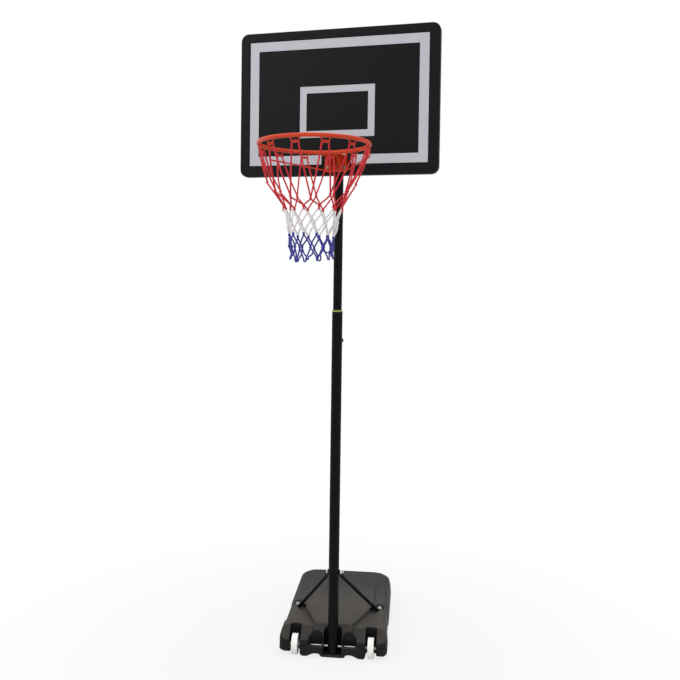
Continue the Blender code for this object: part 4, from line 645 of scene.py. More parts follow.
def powder_finish(colours):
    """Black powder coat: soft orange peel, rub marks along the tubes and thin edges."""
    rubbed = (rub_marks, {"width": 0.0009, "length": 0.05}, 0.12, (0.022, 0.022, 0.023, 1.0))
    worn = (edge_wear, {"width": 0.0008, "patch_size": 0.012}, 0.20, (0.10, 0.10, 0.11, 1.0))
    return surface(
        "Black powder coat", colours.steel, (0.0024, 0.15), 0.10, (0.40, 0.50), (0.35, 0.00010),
        [rubbed, worn], Specular_IOR_Level=0.07,
    )


def enamel_finish(colours):
    """Glossy orange paint with orange peel and a little bare metal at sharp edges."""
    worn = (edge_wear, {"width": 0.0007, "patch_size": 0.010}, 0.35, (0.30, 0.10, 0.05, 1.0))
    return surface(
        "Orange enamel", colours.enamel, (0.0032, 0.09), 0.10, (0.34, 0.44), (0.40, 0.00012),
        [worn], Specular_IOR_Level=0.22, Coat_Weight=0.05, Coat_Roughness=0.12,
    )


def zinc_finish(name, rgb):
    """Zinc plate with a faint spangle and fine marks."""
    marked = (rub_marks, {"width": 0.0003, "length": 0.004}, 0.4, shaded(rgb, 0.75))
    return surface(name, rgb, (0.0006, 0.006), 0.14, (0.42, 0.56), (0.25, 0.00006), [marked], Metallic=1.0)


def bright_zinc(colours):
    return zinc_finish("Zinc plate", colours.zinc)


# Zinc plate with painted shade, for the bolts and nuts under the hoop's ring
def shaded_zinc(colours):
    return zinc_finish("Yellowed zinc plate", colours.shaded_zinc)


def rubber_finish():
    """Soft black rubber, dull and slightly uneven."""
    black = (0.018, 0.018, 0.018)
    return surface(
        "Black rubber", black, (0.0005, 0.02), 0.15, (0.72, 0.85), (0.4, 0.0001), Specular_IOR_Level=0.20
    )


def water_finish():
    """Clear water with a slight tint."""
    return surface(
        "Ballast water", (0.60, 0.78, 0.82), (0.02, 0.2), 0.03, (0.02, 0.05), (0.1, 0.0005),
        Transmission_Weight=1.0, IOR=1.33,
    )


def cord_finish(name, rgb):
    """Braided synthetic cord with a soft sheen and painted shade between its strands."""

    def build(graph, inputs):
        cord = graph.effect(braid(), pitch=0.009, fuzz=0.5)
        body = coloured(graph, inputs, rgb, cord["Tone"], 0.12, (0.62, 0.78))
        # Painted shade in the valleys between the strands
        valley = graph.math("SUBTRACT", 1.0, graph.math("MULTIPLY", cord["Height"], 0.9), clamp=True)
        graph.put(inputs["Base Color"], graph.over(body, valley, 0.30, shaded(rgb, 0.55)))
        graph.put(inputs["Normal"], graph.bump(cord["Height"], 0.6, 0.0004))

    return finish(name, build, Specular_IOR_Level=0.30, Sheen_Weight=0.15, Sheen_Roughness=0.5)


# Shapes

def circle(count):
    """The angles of points that stand evenly round a circle."""
    return [math.tau * step / count for step in range(count)]


def about_z(radius, angle, height):
    """A point about the Z axis."""
    return Vector((radius * math.cos(angle), radius * math.sin(angle), height))


def aimed(spot, axis, place):
    """A point of a shape whose own +Z is turned to an axis, and which is then moved to a place."""
    return TURNS[axis] @ spot + Vector(place)


def opposite(axis):
    """The axis that points the other way."""
    return axis.translate(str.maketrans("+-", "-+"))


class Skin:
    """Points and faces of a mesh as it is built, with a map: round each tube in X, metres along it in Y."""

    def __init__(self):
        self.points = []
        self.faces = []
        self.map = []

    def ring(self, points):
        first = len(self.points)
        self.points.extend(tuple(point) for point in points)
        return list(range(first, len(self.points)))

    def face(self, corners, spots=None):
        self.faces.append(tuple(corners))
        self.map.append(spots or [(0.0, 0.0)] * len(corners))

    def band(self, first, second, start=0.0, end=0.0):
        """Join two rings of equal count with quads."""
        count = len(first)
        for step in range(count):
            after = (step + 1) % count
            low, high = step / count, (step + 1) / count
            corners = (first[step], first[after], second[after], second[step])
            self.face(corners, [(low, start), (high, start), (high, end), (low, end)])

    def loft(self, rings, closed=False):
        """Join rings of points one after another, and close the row or its two ends."""
        rings = [self.ring(points) for points in rings]
        for first, second in zip(rings, rings[1:]):
            self.band(first, second)
        if closed:
            self.band(rings[-1], rings[0])
        else:
            self.face(rings[0][::-1])
            self.face(rings[-1])

    def tube(self, path, radius, sides, taper=None):
        """A round tube with domed ends along a path. Taper gives the share of the radius at each point."""
        path = [Vector(point) for point in path]
        normal = None
        rings = []
        travelled = 0.0
        for index, point in enumerate(path):
            before = point - path[index - 1] if index else path[1] - point
            after = path[index + 1] - point if index + 1 < len(path) else before
            travelled += before.length if index else 0.0
            along = (before.normalized() + after.normalized()).normalized()
            if normal is None:
                normal = along.orthogonal()
            normal = (normal - along * normal.dot(along)).normalized()
            broad = along.cross(normal)
            size = radius * (taper[index] if taper else 1.0)
            steps = [(0.0, 1.0)]
            if index == 0:
                steps = [(-0.92, 0.38), (-0.60, 0.80), (0.0, 1.0)]
            if index == len(path) - 1:
                steps = [(0.0, 1.0), (0.60, 0.80), (0.92, 0.38)]
            for ahead, share in steps:
                ring = []
                for angle in circle(sides):
                    spoke = normal * math.cos(angle) + broad * math.sin(angle)
                    ring.append(point + along * size * ahead + spoke * size * share)
                rings.append((self.ring(ring), travelled + size * ahead))
        for (first, start), (second, end) in zip(rings, rings[1:]):
            self.band(first, second, start, end)
        self.face(rings[0][0][::-1])
        self.face(rings[-1][0])

    def blob(self, centre, size):
        """A small rounded lump, with its half-sizes along X, Y and Z."""
        rings = []
        for level in (-0.95, -0.7, -0.3, 0.3, 0.7, 0.95):
            reach = math.sqrt(1 - level * level)
            ring = [about_z(reach, angle, level) for angle in circle(10)]
            scaled = [Vector([part * scale for part, scale in zip(spot, size)]) for spot in ring]
            rings.append([centre + spot for spot in scaled])
        self.loft(rings)

    def turn(self, profile, segments, closed=False, place=(0, 0, 0), axis="+z"):
        """Turn (radius, height) points about Z, then point that Z along an axis at a place."""
        rings = [
            [aimed(about_z(radius, angle, height), axis, place) for angle in circle(segments)]
            for radius, height in profile
        ]
        self.loft(rings, closed)


def smooth_path(points, step):
    """A smooth curve through the points, in pieces of about one step."""
    points = [Vector(point) for point in points]
    made = []
    for span in range(len(points) - 1):
        start, end = points[span], points[span + 1]
        before = points[span - 1] if span else start * 2 - end
        after = points[span + 2] if span + 2 < len(points) else end * 2 - start
        pieces = max(1, round((end - start).length / step))
        for piece in range(pieces):
            t = piece / pieces
            made.append(
                0.5 * (2 * start + (end - before) * t + (2 * before - 5 * start + 4 * end - after) * t * t
                       + (3 * start - before - 3 * end + after) * t * t * t)
            )
    made.append(points[-1])
    return made


def filleted(profile, radius, steps=4, closed=False):
    """Round the corners of a (radius, height) profile."""
    count = len(profile)
    made = []
    for index, corner in enumerate(profile):
        if not closed and index in (0, count - 1):
            made.append(corner)
            continue
        here = Vector(corner)
        before = Vector(profile[index - 1]) - here
        after = Vector(profile[(index + 1) % count]) - here
        short = before.length < 1e-6 or after.length < 1e-6
        if short or abs(before.normalized().cross(after.normalized())) < 0.05:
            made.append(corner)
            continue
        reach = min(radius, before.length * 0.45, after.length * 0.45)
        start, end = here + before.normalized() * reach, here + after.normalized() * reach
        for step in range(steps + 1):
            t = step / steps
            spot = start * (1 - t) ** 2 + here * 2 * t * (1 - t) + end * t * t
            made.append((spot.x, spot.y))
    return made


def piece(name, skin, body, look, slot, replaces, sharp=40.0):
    """Make an object from a skin. It rides on a body and stands for the solids it replaces.

    Skins are built with the base set square; those on the base are turned with it here.
    """
    mesh = bpy.data.meshes.new(name)
    mesh.from_pydata(skin.points, [], skin.faces)
    if body in BASE_BODIES:
        mesh.transform(Matrix.Rotation(BASE_TURN, 4, "Z"))
    layer = mesh.uv_layers.new(name="Along")
    spots = [spot for face in skin.map for spot in face]
    layer.data.foreach_set("uv", [value for spot in spots for value in spot])
    solid = bmesh.new()
    solid.from_mesh(mesh)
    bmesh.ops.recalc_face_normals(solid, faces=solid.faces)
    solid.to_mesh(mesh)
    solid.free()
    mesh.shade_smooth()
    mesh.set_sharp_from_angle(angle=math.radians(sharp))
    mesh.materials.append(look)
    made = bpy.data.objects.new(name, mesh)
    bpy.context.scene.collection.objects.link(made)
    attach(made, body)
    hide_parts(*replaces)


def dress(node, look, edge=0.0):
    """Give a solid of the frame its finish with smooth shading, its edges softly rounded when an edge width
    is given and crisp when not.
    """
    solid = frame["nodes"][node]
    solid.data.materials.clear()
    solid.data.materials.append(look)
    solid.data.shade_smooth()
    weld = solid.modifiers.new("Join faces", "WELD")
    weld.merge_threshold = SAME_CORNER
    if edge:
        flatten = solid.modifiers.new("Whole faces", "DECIMATE")
        flatten.decimate_type = "DISSOLVE"
        flatten.angle_limit = FLAT_ANGLE
        rounding = solid.modifiers.new("Rounded edges", "BEVEL")
        rounding.width = edge
        rounding.segments = 2
        rounding.limit_method = "ANGLE"
        rounding.angle_limit = SHARP_ANGLE
        rounding.use_clamp_overlap = True
        even = solid.modifiers.new("Even shading", "WEIGHTED_NORMAL")
        even.mode = "FACE_AREA"
        even.weight = 50
    else:
        split = solid.modifiers.new("Crisp edges", "EDGE_SPLIT")
        split.split_angle = SHARP_ANGLE


def straight_box(node):
    """The lowest and the highest corner of a solid of the frame, along its own body's directions."""
    turn = Matrix.Rotation(-BASE_TURN if BODY_OF[node] in BASE_BODIES else 0.0, 3, "Z")
    spots = [turn @ corner.co for corner in frame["nodes"][node].data.vertices]
    return [Vector([pick(spot[axis] for spot in spots) for axis in range(3)]) for pick in (min, max)]


def about_hoop(angle, radius, height):
    """A point about the hoop's centre; angle 0 is the front and positive turns to the right."""
    turn = math.radians(angle)
    return Vector((radius * math.sin(turn), HOOP_CENTRE_Y - radius * math.cos(turn), height))


def hook_angle(place):
    """The angle of the hook with this number; halves fall between two hooks."""
    return HOOK_FIRST_ANGLE + 360 / HOOK_COUNT * place


def along_hoop(length):
    """A length along the hoop's rod, as an angle in degrees."""
    return math.degrees(length / HOOP_RADIUS)


# Base

def largest_shell(solid):
    """Delete every closed shell but the one with the largest box."""
    left = set(solid.verts)
    shells = []
    while left:
        front = [left.pop()]
        shell = list(front)
        while front:
            spot = front.pop()
            for edge in spot.link_edges:
                other = edge.other_vert(spot)
                if other in left:
                    left.remove(other)
                    front.append(other)
                    shell.append(other)
        shells.append(shell)

    def spread(shell):
        xs = [spot.co.x for spot in shell]
        ys = [spot.co.y for spot in shell]
        return (max(xs) - min(xs)) * (max(ys) - min(ys))

    keep = max(shells, key=spread)
    waste = [spot for shell in shells if shell is not keep for spot in shell]
    bmesh.ops.delete(solid, geom=waste, context="VERTS")


def blocked_tank():
    """The tank's solid, set square, with a plug across its filler bore: only its outer skin stays open."""
    mesh = frame["nodes"]["base_tank"].data.copy()
    mesh.transform(Matrix.Rotation(-BASE_TURN, 4, "Z"))
    solid = bmesh.new()
    solid.from_mesh(mesh)
    bmesh.ops.remove_doubles(solid, verts=solid.verts, dist=SAME_CORNER)
    radius = FILLER_BORE_RADIUS + FILLER_FLOOR_MARGIN
    spot = Matrix.Translation((0, TANK_REAR - FILLER_BLIND_DEPTH - FILLER_FLOOR / 2, FILLER_HEIGHT))
    turn = Matrix.Rotation(math.radians(90), 4, "X")
    bmesh.ops.create_cone(
        solid, cap_ends=True, segments=24, radius1=radius, radius2=radius, depth=FILLER_FLOOR,
        matrix=spot @ turn,
    )
    solid.to_mesh(mesh)
    solid.free()
    return mesh


def even_tank(context, tank, grid):
    """The tank's mesh rebuilt on an even grid."""
    remesh = tank.modifiers.new("Even grid", "REMESH")
    remesh.mode = "VOXEL"
    remesh.voxel_size = grid
    remesh.adaptivity = 0.0
    even = bpy.data.meshes.new_from_object(tank.evaluated_get(context.evaluated_depsgraph_get()))
    tank.modifiers.clear()
    return even


def soften_tank(mesh, rounds):
    """Keep the outer skin alone, smooth it, and keep it above the floor."""
    solid = bmesh.new()
    solid.from_mesh(mesh)
    largest_shell(solid)
    for _ in range(rounds):
        bmesh.ops.smooth_vert(
            solid, verts=solid.verts, factor=0.5, use_axis_x=True, use_axis_y=True, use_axis_z=True
        )
    for spot in solid.verts:
        spot.co.z = max(spot.co.z, 0.0)
    solid.to_mesh(mesh)
    solid.free()


def make_tank(context):
    """The moulded tank: the solid's outer skin, with the soft edges of a blown part."""
    sizes = context.scene.hoop_stand_sizes
    tank = bpy.data.objects.new("tank_shell", blocked_tank())
    context.scene.collection.objects.link(tank)
    even = even_tank(context, tank, sizes.tank_grid)
    soften_tank(even, sizes.tank_rounds)
    even.transform(Matrix.Rotation(BASE_TURN, 4, "Z"))
    tank.data = even
    even.shade_smooth()
    even.materials.clear()
    even.materials.append(tank_finish(context.scene.hoop_stand_colours))
    thin = tank.modifiers.new("Fewer faces", "DECIMATE")
    thin.decimate_type = "COLLAPSE"
    thin.ratio = TANK_FACES_KEPT
    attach(tank, "base")
    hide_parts("base_tank")


def wheel_section():
    """A wheel cut from its bore to its tread, which has two grooves: (radius, place along the axle)."""
    half, rim = WHEEL_HALF_WIDTH, WHEEL_RADIUS - WHEEL_RIM_THICKNESS
    bore = AXLE_RADIUS + GAP
    flank = WHEEL_HUB_RADIUS + WHEEL_FLANK_RUN
    section = [
        (bore, -half), (WHEEL_HUB_RADIUS, -half), (flank, -WHEEL_WEB_HALF),
        (rim - WHEEL_FLANK_RUN, -WHEEL_WEB_HALF), (rim, -half), (WHEEL_RADIUS, -half),
    ]
    floor = WHEEL_RADIUS - GROOVE_DEPTH
    for groove in (-half / 3, half / 3):
        section += [
            (WHEEL_RADIUS, groove - GROOVE_HALF_WIDTH), (floor, groove - GROOVE_FLOOR_HALF),
            (floor, groove + GROOVE_FLOOR_HALF), (WHEEL_RADIUS, groove + GROOVE_HALF_WIDTH),
        ]
    section += [
        (WHEEL_RADIUS, half), (rim, half), (rim - WHEEL_FLANK_RUN, WHEEL_WEB_HALF),
        (flank, WHEEL_WEB_HALF), (WHEEL_HUB_RADIUS, half), (bore, half),
    ]
    return filleted(section, 0.0016, closed=True)


def add_spokes(skin, centre):
    """Six raised spokes on each side of a wheel's web."""
    side_half = WHEEL_HALF_WIDTH - SPOKE_INSET
    reaches = (WHEEL_HUB_RADIUS - SPOKE_OVERLAP, WHEEL_RADIUS - WHEEL_RIM_THICKNESS + SPOKE_OVERLAP)
    for spoke in range(WHEEL_SPOKES):
        angle = math.tau * (spoke + 0.5) / WHEEL_SPOKES
        out = Vector((0, math.cos(angle), math.sin(angle)))
        across = Vector((0, -out.z, out.y)) * SPOKE_HALF_WIDTH
        thick = Vector((1, 0, 0)) * (side_half - WHEEL_WEB_HALF) / 2
        for face in (-1, 1):
            deep = Vector((face * (WHEEL_WEB_HALF + side_half) / 2, 0, 0))
            ends = [centre + deep + out * reach for reach in reaches]
            skin.loft([
                [p + across + thick, p - across + thick, p - across - thick, p + across - thick] for p in ends
            ])


def make_wheels(context):
    """White wheels with a webbed centre and a grooved tread, their axle and its caps."""
    colours = context.scene.hoop_stand_colours
    look = plastic_finish("White plastic", colours.wheel, specular=0.35, rough=(0.36, 0.46))
    for label, side in SIDES:
        skin = Skin()
        centre = Vector((side * WHEEL_X, 0, AXLE_HEIGHT))
        skin.turn(wheel_section(), 96, closed=True, place=centre, axis="+x")
        add_spokes(skin, centre)
        node = "wheel_" + label
        piece(node + "_moulded", skin, node, look, "white_plastic", [node])
    make_axle(colours)


def make_axle(colours):
    """The axle's rod and the push-on cap at each end of it."""
    low, high = straight_box("wheel_axle")
    run = high[0] - low[0]
    rod = [(NEAR_AXIS, 0), (AXLE_RADIUS, 0), (AXLE_RADIUS, run), (NEAR_AXIS, run)]
    skin = Skin()
    skin.turn(filleted(rod, 0.0008), 32, place=(low[0], 0, AXLE_HEIGHT), axis="+x")
    piece("axle_rod", skin, "base", bright_zinc(colours), "zinc_steel", ["wheel_axle"])
    bore = AXLE_RADIUS + GAP
    for label, side in SIDES:
        low, high = straight_box("axle_cap_" + label)
        inner = low[0] if side > 0 else high[0]
        thick = high[0] - low[0]
        cap = [
            (bore, 0), (AXLE_CAP_RADIUS, 0), (0.0078, thick * 0.45), (0.0062, thick * 0.9), (0.0050, thick),
            (bore, thick),
        ]
        axis = "+x" if side > 0 else "-x"
        skin = Skin()
        place = (inner, 0, AXLE_HEIGHT)
        skin.turn(filleted(cap, 0.0006, closed=True), 40, closed=True, place=place, axis=axis)
        black = powder_finish(colours)
        piece("axle_push_cap_" + label, skin, "base", black, "black_steel", ["axle_cap_" + label])


def make_filler(context):
    """The filler plug, its gasket and the water behind it."""
    colours = context.scene.hoop_stand_colours
    dress("filler_plug", plastic_finish("Black plastic", colours.plastic), edge=0.0006)
    dress("filler_gasket", rubber_finish())
    dress("water_fill", water_finish())


# Pole

def make_poles(context):
    """Pole tubes, their bush, plugs and top cap."""
    colours = context.scene.hoop_stand_colours
    powder = powder_finish(colours)
    plastic = plastic_finish("Black plastic", colours.plastic)
    for node in ("bottom_pole", "middle_pole", "top_pole"):
        dress(node, powder)
    for node in ("pole_glide", "foot_plug"):
        dress(node, plastic)
    make_bush(plastic_finish("Lime plastic", colours.bush, specular=0.35))
    make_end_cap(plastic)


def make_bush(look):
    """The bush in the middle pole's top, with a collar that stands on the pole's end."""
    low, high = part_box("pole_bush")
    slide = UPPER_POLE_RADIUS + GAP
    sleeve = LOWER_POLE_RADIUS - BUSH_INSET
    rise = high[2] - MIDDLE_POLE_TOP
    section = [
        (slide, low[2]), (sleeve, low[2]), (sleeve, MIDDLE_POLE_TOP), (LOWER_POLE_RADIUS, MIDDLE_POLE_TOP),
        (LOWER_POLE_RADIUS, MIDDLE_POLE_TOP + rise * 0.75), (sleeve, high[2]), (slide, high[2]),
    ]
    skin = Skin()
    skin.turn(filleted(section, 0.0008, closed=True), 72, closed=True)
    piece("pole_guide_bush", skin, "base", look, "lime_plastic", ["pole_bush"])


def make_end_cap(look):
    """The cap on the top pole's upper end, with its plug inside the tube."""
    low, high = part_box("pole_top_cap")
    section = [
        (NEAR_AXIS, low[2]), (END_CAP_PLUG_RADIUS, low[2]), (END_CAP_PLUG_RADIUS, END_CAP_SEAT),
        (UPPER_POLE_RADIUS, END_CAP_SEAT), (UPPER_POLE_RADIUS, high[2] - 0.0008),
        (UPPER_POLE_RADIUS - 0.003, high[2]), (NEAR_AXIS, high[2]),
    ]
    skin = Skin()
    skin.turn(filleted(section, 0.0009), 72)
    piece("pole_end_cap", skin, "upper", look, "black_plastic", ["pole_top_cap"])


# Fasteners

def hexagon(skin, height, place, axis, bore=0.0):
    """A hexagon head, or a nut when it has a bore. The corners are cut to a cone, a nut's at both ends."""
    slope = math.tan(math.radians(30))
    cut = HEX_FLAT * HEX_CUT
    inner = bore or 0.0004
    if bore:
        levels = [(inner, 0.0, 0.0), (cut, 0.0, 0.0), (None, 0.0, slope)]
    else:
        levels = [(inner, 0.0, 0.0), (HEX_FLAT * 0.99, 0.0, 0.0), (None, 0.0002, 0.0)]
    levels += [(None, height, -slope), (cut, height, 0.0), (inner, height, 0.0)]
    rings = []
    for radius, level, rise in levels:
        ring = []
        for angle in circle(48):
            hex_radius = HEX_FLAT / math.cos((angle + math.pi / 6) % (math.pi / 3) - math.pi / 6)
            reach = radius or hex_radius
            ring.append(aimed(about_z(reach, angle, level + rise * (reach - cut)), axis, place))
        rings.append(ring)
    skin.loft(rings, closed=bool(bore))


def thread(skin, start, end, place, axis, radius=BOLT_RADIUS, pitch=THREAD_PITCH):
    """A plain shank to start and a cut thread from there to end, with a chamfered tip."""
    segments = 20
    count = max(2, round((end - start) / (pitch / 5)))
    heights = [0.0, start] + [start + (end - start) * step / count for step in range(1, count + 1)]
    rings = []
    for height in heights:
        ring = []
        for step, angle in enumerate(circle(segments)):
            phase = (height / pitch - step / segments) % 1.0
            cut = THREAD_DEPTH * (1 - abs(2 * phase - 1)) if height > start + 1e-6 else 0.0
            tip = max(0.0, height - (end - THREAD_TIP))
            ring.append(aimed(about_z(radius - cut - tip, angle, height), axis, place))
        rings.append(ring)
    skin.loft(rings)


def ends_of(node, axis):
    """Where a piece starts and ends along an axis, as its starting point and its length."""
    low, high = straight_box(node)
    start = (low + high) / 2
    index = "xyz".index(axis[1])
    start[index] = low[index] if axis[0] == "+" else high[index]
    return start, high[index] - low[index]


def hex_bolt(node, body, axis, threaded, look):
    """A hexagon bolt that points along an axis, threaded over its last part."""
    start, whole = ends_of(node, axis)
    skin = Skin()
    seat = aimed(Vector((0, 0, HEAD_HEIGHT)), axis, start)
    hexagon(skin, HEAD_HEIGHT, seat, opposite(axis))
    shank = whole - HEAD_HEIGHT
    thread(skin, max(0.001, shank - threaded), shank, seat, axis)
    piece(node + "_cut", skin, body, look, "zinc_steel", [node])


def hex_nut(node, body, axis, look):
    """A hexagon nut whose height runs along an axis."""
    start, whole = ends_of(node, axis)
    skin = Skin()
    hexagon(skin, whole, start, axis, bore=BOLT_RADIUS + 0.0002)
    piece(node + "_cut", skin, body, look, "zinc_steel", [node])


def pan_screw(node, body, axis, look):
    """A pan-head screw with a cross recess; the axis points out of its head."""
    start, whole = ends_of(node, axis)
    seat = whole - SCREW_HEAD_HEIGHT
    rings = []
    for share, lift in PAN_HEAD:
        ring = []
        for angle in circle(48):
            spot = about_z(SCREW_HEAD_RADIUS * share, angle, seat + SCREW_HEAD_HEIGHT * lift)
            if min(abs(spot.x), abs(spot.y)) < RECESS_HALF_WIDTH and share < RECESS_SHARE:
                spot.z -= RECESS_DEPTH
            ring.append(aimed(spot, axis, start))
        rings.append(ring)
    skin = Skin()
    skin.loft(rings)
    under_head = aimed(Vector((0, 0, seat)), axis, start)
    thread(skin, 0.0005, seat, under_head, opposite(axis), radius=SCREW_RADIUS, pitch=SCREW_PITCH)
    piece(node + "_cut", skin, body, look, "zinc_steel", [node])


def make_washer(label, look):
    """The plain washer under the bolt at a strut's foot."""
    start, thick = ends_of("strut_washer_" + label, "+z")
    bore = BOLT_RADIUS + GAP
    section = [(bore, 0), (0.010, 0), (0.010, thick), (bore, thick)]
    skin = Skin()
    skin.turn(filleted(section, 0.0004, closed=True), 48, closed=True, place=start)
    piece("strut_plain_washer_" + label, skin, "base", look, "zinc_steel", ["strut_washer_" + label])


def make_fasteners(context):
    """Bolts, nuts, washers and screws."""
    zinc = bright_zinc(context.scene.hoop_stand_colours)
    shaded_hoop_zinc = shaded_zinc(context.scene.hoop_stand_colours)
    # The hoop's bolts and nuts take the zinc with painted shade
    for number in range(1, 5):
        hex_bolt("rim_bolt_%d" % number, "upper", "+y", 0.014, shaded_hoop_zinc)
        hex_nut("rim_nut_%d" % number, "upper", "+y", shaded_hoop_zinc)
    for label in ("lower", "upper"):
        hex_bolt(label + "_saddle_bolt", "upper", "+x", 0.014, zinc)
        hex_nut(label + "_saddle_nut", "upper", "+x", zinc)
    hex_bolt("strut_top_bolt", "base", "+x", 0.018, zinc)
    hex_nut("strut_top_nut", "base", "+x", zinc)
    for label, _ in SIDES:
        hex_bolt("strut_bolt_" + label, "base", "-z", 0.016, zinc)
        make_washer(label, zinc)
        dress("strut_insert_" + label, zinc)
        pan_screw("saddle_screw_" + label, "upper", "+y", zinc)


def knob_levels():
    """A star knob's levels from its seat to its dished front: (height, how far in from its full radius)."""
    levels = [(0.0, 0.0045), (0.0006, 0.0028)]
    for step in range(7):
        turn = math.pi / 2 * step / 6
        levels.append((0.0022 + KNOB_EDGE * 0.4 * math.sin(turn), KNOB_EDGE * 0.6 * (1 - math.sin(turn))))
    for step in range(9):
        turn = math.pi / 2 * step / 8
        levels.append((KNOB_THICKNESS - KNOB_EDGE * (1 - math.sin(turn)), KNOB_EDGE * (1 - math.cos(turn))))
    dish = ((0.0001, 0.0060), (0.0010, 0.0075), (0.0012, 0.0120))
    return levels + [(KNOB_THICKNESS - down, inset) for down, inset in dish]


def make_knob(look):
    """The star knob, whose lobes die out towards its middle."""
    rings = []
    for height, inset in knob_levels():
        depth = KNOB_LOBE_DEPTH * max(0.0, 1 - inset / KNOB_LOBE_REACH)
        ring = []
        for angle in circle(120):
            radius = KNOB_RADIUS - inset - depth * (1 - math.cos(KNOB_LOBES * angle)) / 2
            ring.append(aimed(about_z(radius, angle, height), "+y", (0, KNOB_SEAT, LOCK_HEIGHT)))
        rings.append(ring)
    skin = Skin()
    skin.loft(rings)
    piece("lock_star_knob", skin, "lock_knob", look, "black_plastic", ["lock_knob"])


def make_lock(context):
    """The height lock: a nut on the pole, a threaded screw and a star knob."""
    colours = context.scene.hoop_stand_colours
    zinc = bright_zinc(colours)
    hex_nut("lock_nut", "base", "+y", zinc)
    start, whole = ends_of("lock_bolt", "+y")
    skin = Skin()
    thread(skin, 0.002, whole, start, "+y")
    piece("lock_screw_cut", skin, "lock_screw", zinc, "zinc_steel", ["lock_bolt"])
    make_knob(plastic_finish("Black plastic", colours.plastic))


# Struts

def eased(t):
    """A share that starts and ends gently."""
    return t * t * (3 - 2 * t)


def tip_section(end, out, along, thickness, share):
    """A section of a pressed flat's rounded tip, at a share of the half width beyond its end."""
    reach = STRUT_FLAT_HALF_WIDTH * math.sqrt(1 - share * share)
    thin = STRUT_FLAT_HALF_THICK * min(1, 0.55 + reach / STRUT_FLAT_HALF_WIDTH)
    return end + out * STRUT_FLAT_HALF_WIDTH * share, along, thickness, reach, thin, PRESSED_ROUNDNESS


def flare_section(centre, flat_way, tube_way, thickness, t):
    """A section between a pressed flat, where t is 0, and the round tube, where it is 1."""
    grow = eased(t)
    along = flat_way.lerp(tube_way, grow).normalized()
    half_width = STRUT_FLAT_HALF_WIDTH + (STRUT_RADIUS - STRUT_FLAT_HALF_WIDTH) * grow
    half_thick = STRUT_FLAT_HALF_THICK + (STRUT_RADIUS - STRUT_FLAT_HALF_THICK) * grow
    roundness = PRESSED_ROUNDNESS + (1 - PRESSED_ROUNDNESS) * grow
    return centre, along, thickness, half_width, half_thick, roundness


def strut_sections(side):
    """Sections of a strut: a pressed flat beside the pole, a round tube, and a pressed flat in the tank.

    Each is its centre, its way along, its way through, its half width, its half thickness and its roundness.
    """
    top = Vector((side * STRUT_TOP.x, STRUT_TOP.y, STRUT_TOP.z))
    foot = Vector((side * STRUT_FOOT.x, STRUT_FOOT.y, STRUT_FOOT.z))
    outer = side * (STRUT_TOP.x + STRUT_FLAT_HALF_THICK)
    inward = Vector((outer - foot.x, -foot.y, 0)).normalized()
    down = Vector((0, foot.y - top.y, foot.z - top.z)).normalized()
    top_end = top + down * STRUT_FLAT_LENGTH
    foot_end = foot + inward * STRUT_FLAT_LENGTH
    run = (foot_end - top_end).normalized()
    outward, up = Vector((side, 0, 0)), Vector((0, 0, 1))
    sections = [tip_section(top, -down, down, outward, share) for share in reversed(TIP_SHARES)]
    for step in range(1, 9):
        t = step / 8
        sections.append(flare_section(top_end + run * STRUT_FLARE * t, down, run, outward, t))
    slant = (outward + up).normalized()
    sections.append(((top_end + foot_end) / 2, run, slant, STRUT_RADIUS, STRUT_RADIUS, 1.0))
    for step in range(8):
        t = 1 - step / 8
        sections.append(flare_section(foot_end - run * STRUT_FLARE * t, -inward, run, up, t))
    half_width, half_thick = STRUT_FLAT_HALF_WIDTH, STRUT_FLAT_HALF_THICK
    sections.append((foot_end, -inward, up, half_width, half_thick, PRESSED_ROUNDNESS))
    return sections + [tip_section(foot, -inward, -inward, up, share) for share in TIP_SHARES]


def strut_rings(side):
    """The points round each section of a strut."""
    rings = []
    for centre, along, thickness, half_width, half_thick, roundness in strut_sections(side):
        broad = along.cross(thickness).normalized()
        thin_way = broad.cross(along).normalized()
        ring = []
        for angle in circle(32):
            x = math.copysign(abs(math.cos(angle)) ** roundness, math.cos(angle))
            ring.append(centre + broad * half_width * x + thin_way * half_thick * math.sin(angle))
        rings.append(ring)
    return rings


def make_struts(context):
    """Tube struts with pressed flat ends."""
    powder = powder_finish(context.scene.hoop_stand_colours)
    for label, side in SIDES:
        skin = Skin()
        skin.loft(strut_rings(side))
        piece("strut_tube_" + label, skin, "base", powder, "black_steel", ["strut_" + label])


# Board

def make_board(context):
    """The moulded board, its printed stripes and the saddles behind it."""
    colours = context.scene.hoop_stand_colours
    sizes = context.scene.hoop_stand_sizes
    board = plastic_finish(
        "Board plastic", colours.board, specular=0.09, rough=(0.44, 0.54), grain_size=0.0012
    )
    dress("backboard", board, edge=sizes.edge_round)
    ink = print_finish(colours)
    dress("border_stripe", ink)
    dress("target_stripe", ink)
    powder = powder_finish(colours)
    for node in ("lower_saddle", "upper_saddle"):
        dress(node, powder, edge=sizes.edge_round)


# Hoop

def weld_bead(skin, path, radius):
    """A bead of overlapping ripples along a path."""
    points = smooth_path(path, radius * 0.45)
    ripple = [1.0 + 0.16 * math.cos(index * 2.1) for index in range(len(points))]
    skin.tube(points, radius, sides=8, taper=ripple)


def add_ring(skin):
    """The hoop's round rod, closed on itself."""
    segments = 144
    rings = []
    for step in range(segments):
        ring = []
        for around in circle(20):
            radius = HOOP_RADIUS + HOOP_ROD_RADIUS * math.cos(around)
            height = HOOP_HEIGHT + HOOP_ROD_RADIUS * math.sin(around)
            ring.append(about_hoop(360 * step / segments, radius, height))
        rings.append(ring)
    skin.loft(rings, closed=True)


